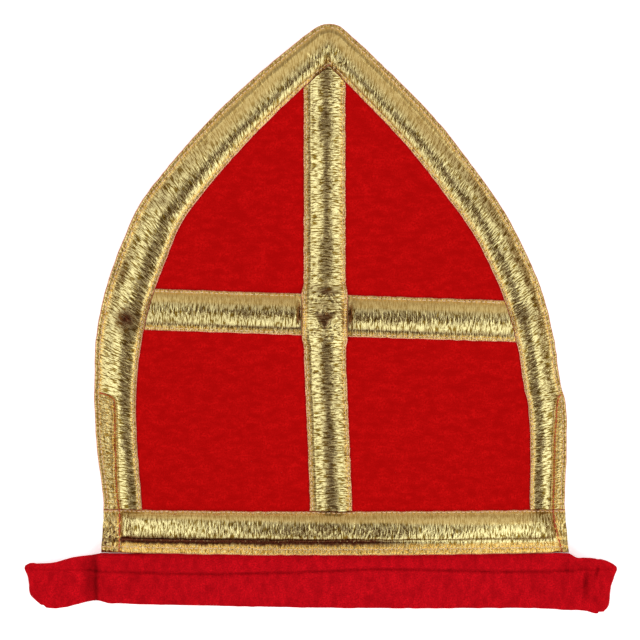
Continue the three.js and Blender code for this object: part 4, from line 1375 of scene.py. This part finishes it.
def band_creases(at, down):
    """Depth of the soft creases, as a share of the plush's thickness."""
    depth = 0
    for row in BAND_CREASES:
        off, below = (at - row["at"]) / row["wide"], (down - row["down"]) / row["long"]
        depth = depth + row["deep"] * np.exp(-(off**2) - below**2)
    return depth


def hem_crease(s, at, y):
    """1 in the crease along the turned-up hem's edge."""
    off = -y - s.band_depth * curve(BAND_EDGES, "at", "hem", at)
    return beside([off], HEM_CREASE_WIDTH) * ease((HEM_END - np.abs(at)) / HEM_FADE)


def band_ring(form):
    """Outer and inner faces of the band, round its whole loop: arrays of (place, row, xyz)."""
    s = form.s
    down = np.linspace(0, 1, BAND_ROWS + 1)
    outer, inner, shade = [], [], []
    thick = s.band_wall + HEM_EXTRA + EAR_CREVICE
    ends = [2 - thick / (reach * min(row[side] for row in EAR_ENDS))
            for side, reach in (("left", s.ear_left), ("right", s.ear_right))]
    spots = np.linspace(-ends[0], ends[1], round(sum(ends) / BAND_STEP) + 1)
    for front in (False, True):
        for at in spots[::-1] if front else spots:
            x, y = band_plan(form, np.full_like(down, at), down)
            wall = band_wall(form, y)
            face = band_top(form, at, down, x, y) if front else band_floor(form, y)
            inside = face - wall if front else face + wall
            outer.append(np.stack([x, y, face], axis=1))
            inner.append(np.stack([x, y, inside], axis=1))
            # Painted shade for the creases and the hem, which darkens the plush's colour
            deep = CREASE_SHADE * band_creases(at, down) + HEM_SHADE * hem_crease(s, at, y)
            shade.append(np.clip(deep, 0, 1) if front else np.zeros_like(down))
        sign = -1 if front else 1
        x, y = band_plan(form, np.full_like(down, 2 * sign), down)
        radius = band_wall(form, y) + EAR_CREVICE / 2
        middle = band_floor(form, y) + radius
        centre = x - sign * radius
        for angle in np.linspace(-math.pi / 2, math.pi / 2, FOLD_STEPS + 1):
            turn = angle * sign
            for faces, reach in ((outer, radius), (inner, np.full_like(radius, EAR_CREVICE / 2))):
                fold = [centre + sign * reach * math.cos(turn), y, middle + reach * math.sin(turn)]
                faces.append(np.stack(fold, axis=1))
            shade.append(np.zeros_like(down))
    return np.array(outer), np.array(inner), np.array(shade)


class MITRE_OT_headband(bpy.types.Operator):
    """Fold the plush headband round the mouth"""

    bl_idname = "mitre.headband"
    bl_label = "Plush headband"

    def execute(self, context):
        form = form_of(context)
        outer, inner, shade = band_ring(form)
        places, rows = outer.shape[:2]
        points = np.concatenate([outer.reshape(-1, 3), inner.reshape(-1, 3)])
        index = np.arange(places * rows).reshape(places, rows)
        ahead = np.roll(index, -1, axis=0)
        shift = places * rows
        skin = np.stack([index[:, :-1], ahead[:, :-1], ahead[:, 1:], index[:, 1:]], axis=-1).reshape(-1, 4)
        lining = skin[:, ::-1] + shift
        top = np.stack([index[:, 0], index[:, 0] + shift, ahead[:, 0] + shift, ahead[:, 0]], axis=-1)
        foot = np.stack([index[:, -1], ahead[:, -1], ahead[:, -1] + shift, index[:, -1] + shift], axis=-1)
        around = lengths_along(outer[:, 0])
        flat = np.stack([around[:, None] * np.ones((1, rows)), -outer[..., 1]], axis=-1).reshape(-1, 2)
        # The painted crease shade rides in the first value of the sewn attribute
        sewn = np.zeros((len(points), 3))
        sewn[:shift, 0] = shade.ravel()
        piece = build("headband_plush", points, np.concatenate([skin, lining, top, foot]),
                      np.concatenate([flat, flat]), look_of(context, "short_plush_crimson"), {"sewn": sewn})
        dress(piece, "headband")
        return {"FINISHED"}


# Thread

THREAD_RADIUS = 0.3 * MM
THREAD_END = 0.45  # radius of a stitch's ends, over its middle's
THREAD_SUNK = 0.35  # how deep a stitch's ends sink into the cloth, in radii
STITCH_SHARE = 0.7  # of each pitch, the thread that shows
STITCH_ARC = 0.22 * MM
SEAM_THREAD_RADIUS = 0.48 * MM
SEAM_STITCH_SHARE = 0.94
THREAD_SIDES = 6
THREAD_RINGS = 5
LINE_STEPS = 500
SEAM_STEPS = 200
CROSS_LINES = (2, -3)  # lines of the cross's meshes that its stitching follows
HIDDEN_UNDER = 0.5  # from here on the crossbar's stitching is under the upright


def stitches(rows, pitch, radius, filled):
    """Points and faces of running stitches along polylines of (x, y, z)."""
    points, faces = [], []
    angle = np.linspace(0, 2 * math.pi, THREAD_SIDES, endpoint=False)
    step = np.linspace(0, 1, THREAD_RINGS)
    bulge = np.sin(math.pi * step)
    size = radius * mix(THREAD_END, 1, bulge)
    rise = STITCH_ARC * bulge - THREAD_SUNK * radius
    side = np.arange(THREAD_SIDES)
    for row in rows:
        lengths = lengths_along(row)
        for k in range(int(lengths[-1] / pitch)):
            spine = at_lengths(row, lengths, (k + (1 - filled) / 2 + filled * step) * pitch)
            ahead = unit(spine[-1] - spine[0])
            aside = unit(np.cross(ahead, [0, 0, 1]))
            above = np.cross(aside, ahead)
            start = len(points) * THREAD_SIDES
            for centre, r in zip(spine + above * rise[:, None], size):
                points.append(centre + r * (np.cos(angle)[:, None] * aside + np.sin(angle)[:, None] * above))
            for ring in range(THREAD_RINGS - 1):
                base = start + ring * THREAD_SIDES + side
                turn = start + ring * THREAD_SIDES + (side + 1) % THREAD_SIDES
                faces.append(np.stack([base, turn, turn + THREAD_SIDES, base + THREAD_SIDES], axis=1))
    return np.concatenate(points), np.concatenate(faces)


def sew(context, name, rows, look, radius=THREAD_RADIUS, filled=STITCH_SHARE):
    """Thread along some lines, as one piece."""
    points, faces = stitches(rows, context.scene.mitre_sizes.stitch_pitch, radius, filled)
    piece = build(name, points, faces, points[:, :2], look_of(context, look), {})
    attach(piece, "root")


def stitch_line(x, y, top):
    """A row of stitching on a trim whose cloth would lie at the top without its pull."""
    return np.stack([x, y, top - STITCH_DIP + THREAD_RADIUS], axis=1)


def border_line(form, side, distance):
    """A line along the border at a distance from its outer edge."""
    s = form.s
    line = resample(form.inset(side, distance / s.border_width, 0, s.mouth_trim_width + s.gap), LINE_STEPS)
    x, y = line[:, 0], line[:, 1]
    return stitch_line(x, y, form.seat(x, y) + border_thickness(form, np.full_like(x, distance), x, y))


def mouth_line(form, distance):
    """A line along the front mouth trim at a distance from the mouth edge."""
    x = np.linspace(-form.width_at("left", distance), form.width_at("right", distance), LINE_STEPS)
    y = np.full_like(x, distance)
    return stitch_line(x, y, form.seat(x, y) + mouth_thickness(form, x, y))


def cross_lines(form):
    """The lines along the crossbar, left and right of the upright, and those along the upright."""
    rows = []
    strip = crossbar_strip(form)
    top = form.seat(strip.x, strip.y) + crossbar_thickness(strip)
    free = form.under_upright(strip.x, strip.y) < HIDDEN_UNDER
    for i in CROSS_LINES:
        line = stitch_line(strip.x[i], strip.y[i], top[i])
        rows += [line[free[i] & (strip.x[i] < 0)], line[free[i] & (strip.x[i] > 0)]]
    strip = upright_strip(form)
    top = sum(upright_surface(strip))
    return rows + [stitch_line(strip.x[:, i], strip.y[:, i], top[:, i]) for i in CROSS_LINES]


class MITRE_OT_trim_stitching(bpy.types.Operator):
    """Run the edge stitching of every front trim"""

    bl_idname = "mitre.trim_stitching"
    bl_label = "Trim stitching"

    def execute(self, context):
        form = form_of(context)
        rows = {
            "border_stitching": [
                border_line(form, side, at) for side in SIGN for at in form.stitch_rows("border")],
            "mouth_trim_stitching": [mouth_line(form, at) for at in form.stitch_rows("mouth_trim")],
            "cross_stitching": cross_lines(form)}
        for name, lines in rows.items():
            sew(context, name, lines, "polyester_thread_gold")
        return {"FINISHED"}


def seam_line(form, side):
    """The side seam's line, from the mouth edge up to its hook over the edge."""
    s = form.s
    y = np.linspace(0, s.seam_height, SEAM_STEPS)
    x = SIGN[side] * s.half_width * curve(SEAM_LINES, "up", side, y / s.corner_height)
    distance = (form.width_at(side, y) - np.abs(x)) * s.border_width / form.trim_at(side, y)
    border = border_thickness(form, distance, x, y)
    rise = np.where(y < s.mouth_trim_width, mouth_thickness(form, x, y), border)
    return np.stack([x, y, form.seat(x, y) + rise + THREAD_RADIUS], axis=1)


class MITRE_OT_seam_thread(bpy.types.Operator):
    """Run the thread of both side seams"""

    bl_idname = "mitre.seam_thread"
    bl_label = "Side seams"

    def execute(self, context):
        form = form_of(context)
        rows = [seam_line(form, side) for side in SIGN]
        look = "polyester_thread_rust"
        sew(context, "side_seam_thread", rows, look, SEAM_THREAD_RADIUS, SEAM_STITCH_SHARE)
        return {"FINISHED"}


# Stage

IMAGE_SIZE = 640
PIXEL = 0.64 * MM
SENSOR = 36  # millimetres
CAMERA_X = -0.5 * MM
CAMERA_Y = -0.6 * MM
CAMERA_HEIGHT = 3.0
CLIP_END = 50
TABLE_SIZE = 8.0
TABLE_DROP = 0.3 * MM  # keeps the table clear of the mitre's underside
TABLE_GLOW = 0.4
WALLS = "#9A6E24"
CEILING = "#60320C"
CEILING_EDGE = 0.9
CEILING_SOFT = 0.05
BOX_COLOUR = "#DDF0FF"


class MITRE_OT_stage(bpy.types.Operator):
    """Set the white table, the ring of soft boxes and the overhead camera"""

    bl_idname = "mitre.stage"
    bl_label = "Table, light and camera"

    def execute(self, context):
        scene = context.scene
        self.table(scene)
        self.light(scene)
        self.camera(scene)
        return {"FINISHED"}

    def table(self, scene):
        """A white table that glows a little, so that it comes out as white as in the photo."""
        white = scene.mitre_colours.table
        look, tree = blank("white_table")
        finish(tree, {
            "Base Color": white, "Roughness": 0.9, "Emission Color": white, "Emission Strength": TABLE_GLOW})
        half = TABLE_SIZE / 2
        corners = [(-half, -half, 0), (half, -half, 0), (half, half, 0), (-half, half, 0)]
        mesh = bpy.data.meshes.new("table")
        mesh.from_pydata(corners, [], [(0, 1, 2, 3)])
        mesh.materials.append(look)
        table = bpy.data.objects.new("table", mesh)
        table.location.z = -TABLE_DROP
        scene.collection.objects.link(table)

    def light(self, scene):
        """Cool soft boxes round the table, in a warm room that is dimmer overhead."""
        world = bpy.data.worlds.new("soft_box_ring")
        scene.world = world
        world.use_nodes = True
        tree = world.node_tree
        tree.nodes.clear()
        toward = node(tree, "ShaderNodeTexCoord", {}, {}).outputs["Generated"]
        parts = node(tree, "ShaderNodeSeparateXYZ", {}, {"Vector": toward})
        room = overlay(tree, linear(WALLS), parts.outputs["Z"], CEILING_EDGE, CEILING_EDGE + CEILING_SOFT,
                       linear(CEILING))
        glow = 0
        for box in SOFT_BOXES:
            sockets = {0: toward, 1: (box["x"], box["y"], box["z"])}
            facing = node(tree, "ShaderNodeVectorMath", {"operation": "DOT_PRODUCT"}, sockets)
            sockets = {
                "Value": facing.outputs["Value"], "From Min": box["edge"],
                "From Max": box["edge"] + box["soft"], "To Max": box["level"]}
            lit = node(tree, "ShaderNodeMapRange", {}, sockets).outputs["Result"]
            glow = node(tree, "ShaderNodeMath", {"operation": "ADD"}, {0: glow, 1: lit}).outputs["Value"]
        boxes = node(tree, "ShaderNodeBackground", {}, {"Strength": glow, "Color": linear(BOX_COLOUR)})
        walls = node(tree, "ShaderNodeBackground", {}, {"Color": room})
        both = node(tree, "ShaderNodeAddShader", {}, {0: boxes.outputs[0], 1: walls.outputs[0]})
        node(tree, "ShaderNodeOutputWorld", {}, {"Surface": both.outputs[0]})

    def camera(self, scene):
        """A camera high overhead that sees the mitre at the photo's scale."""
        lens = bpy.data.cameras.new("overhead")
        lens.sensor_width = SENSOR
        lens.lens = SENSOR * CAMERA_HEIGHT / (IMAGE_SIZE * PIXEL)
        lens.clip_end = CLIP_END
        camera = bpy.data.objects.new("overhead", lens)
        camera.location = (CAMERA_X, CAMERA_Y, CAMERA_HEIGHT)
        scene.collection.objects.link(camera)
        scene.camera = camera
        scene.view_settings.view_transform = "Standard"
        scene.view_settings.look = "None"


# Add-on

OPERATORS = (
    MITRE_OT_panels, MITRE_OT_borders, MITRE_OT_cross, MITRE_OT_mouth_trims, MITRE_OT_headband,
    MITRE_OT_trim_stitching, MITRE_OT_seam_thread, MITRE_OT_stage)


class MITRE_PT_sidebar(bpy.types.Panel):
    """Lists the mitre's pieces, sizes and colours"""

    bl_idname = "MITRE_PT_sidebar"
    bl_label = "Bishop's mitre"
    bl_space_type = "VIEW_3D"
    bl_region_type = "UI"
    bl_category = "Mitre"

    def draw(self, context):
        for operator in OPERATORS:
            self.layout.operator(operator.bl_idname)
        for group in (context.scene.mitre_sizes, context.scene.mitre_colours):
            for name in group.bl_rna.properties.keys():
                if name not in ("rna_type", "name"):
                    self.layout.prop(group, name)


CLASSES = (MitreSizes, MitreColours, *OPERATORS, MITRE_PT_sidebar)


def register():
    for cls in CLASSES:
        bpy.utils.register_class(cls)
    bpy.types.Scene.mitre_sizes = bpy.props.PointerProperty(type=MitreSizes)
    bpy.types.Scene.mitre_colours = bpy.props.PointerProperty(type=MitreColours)


def unregister():
    del bpy.types.Scene.mitre_colours
    del bpy.types.Scene.mitre_sizes
    for cls in reversed(CLASSES):
        bpy.utils.unregister_class(cls)


def main():
    register()
    for operator in OPERATORS:
        group, name = operator.bl_idname.split(".")
        getattr(getattr(bpy.ops, group), name)()
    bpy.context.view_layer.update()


if __name__ == "__main__":
    main()
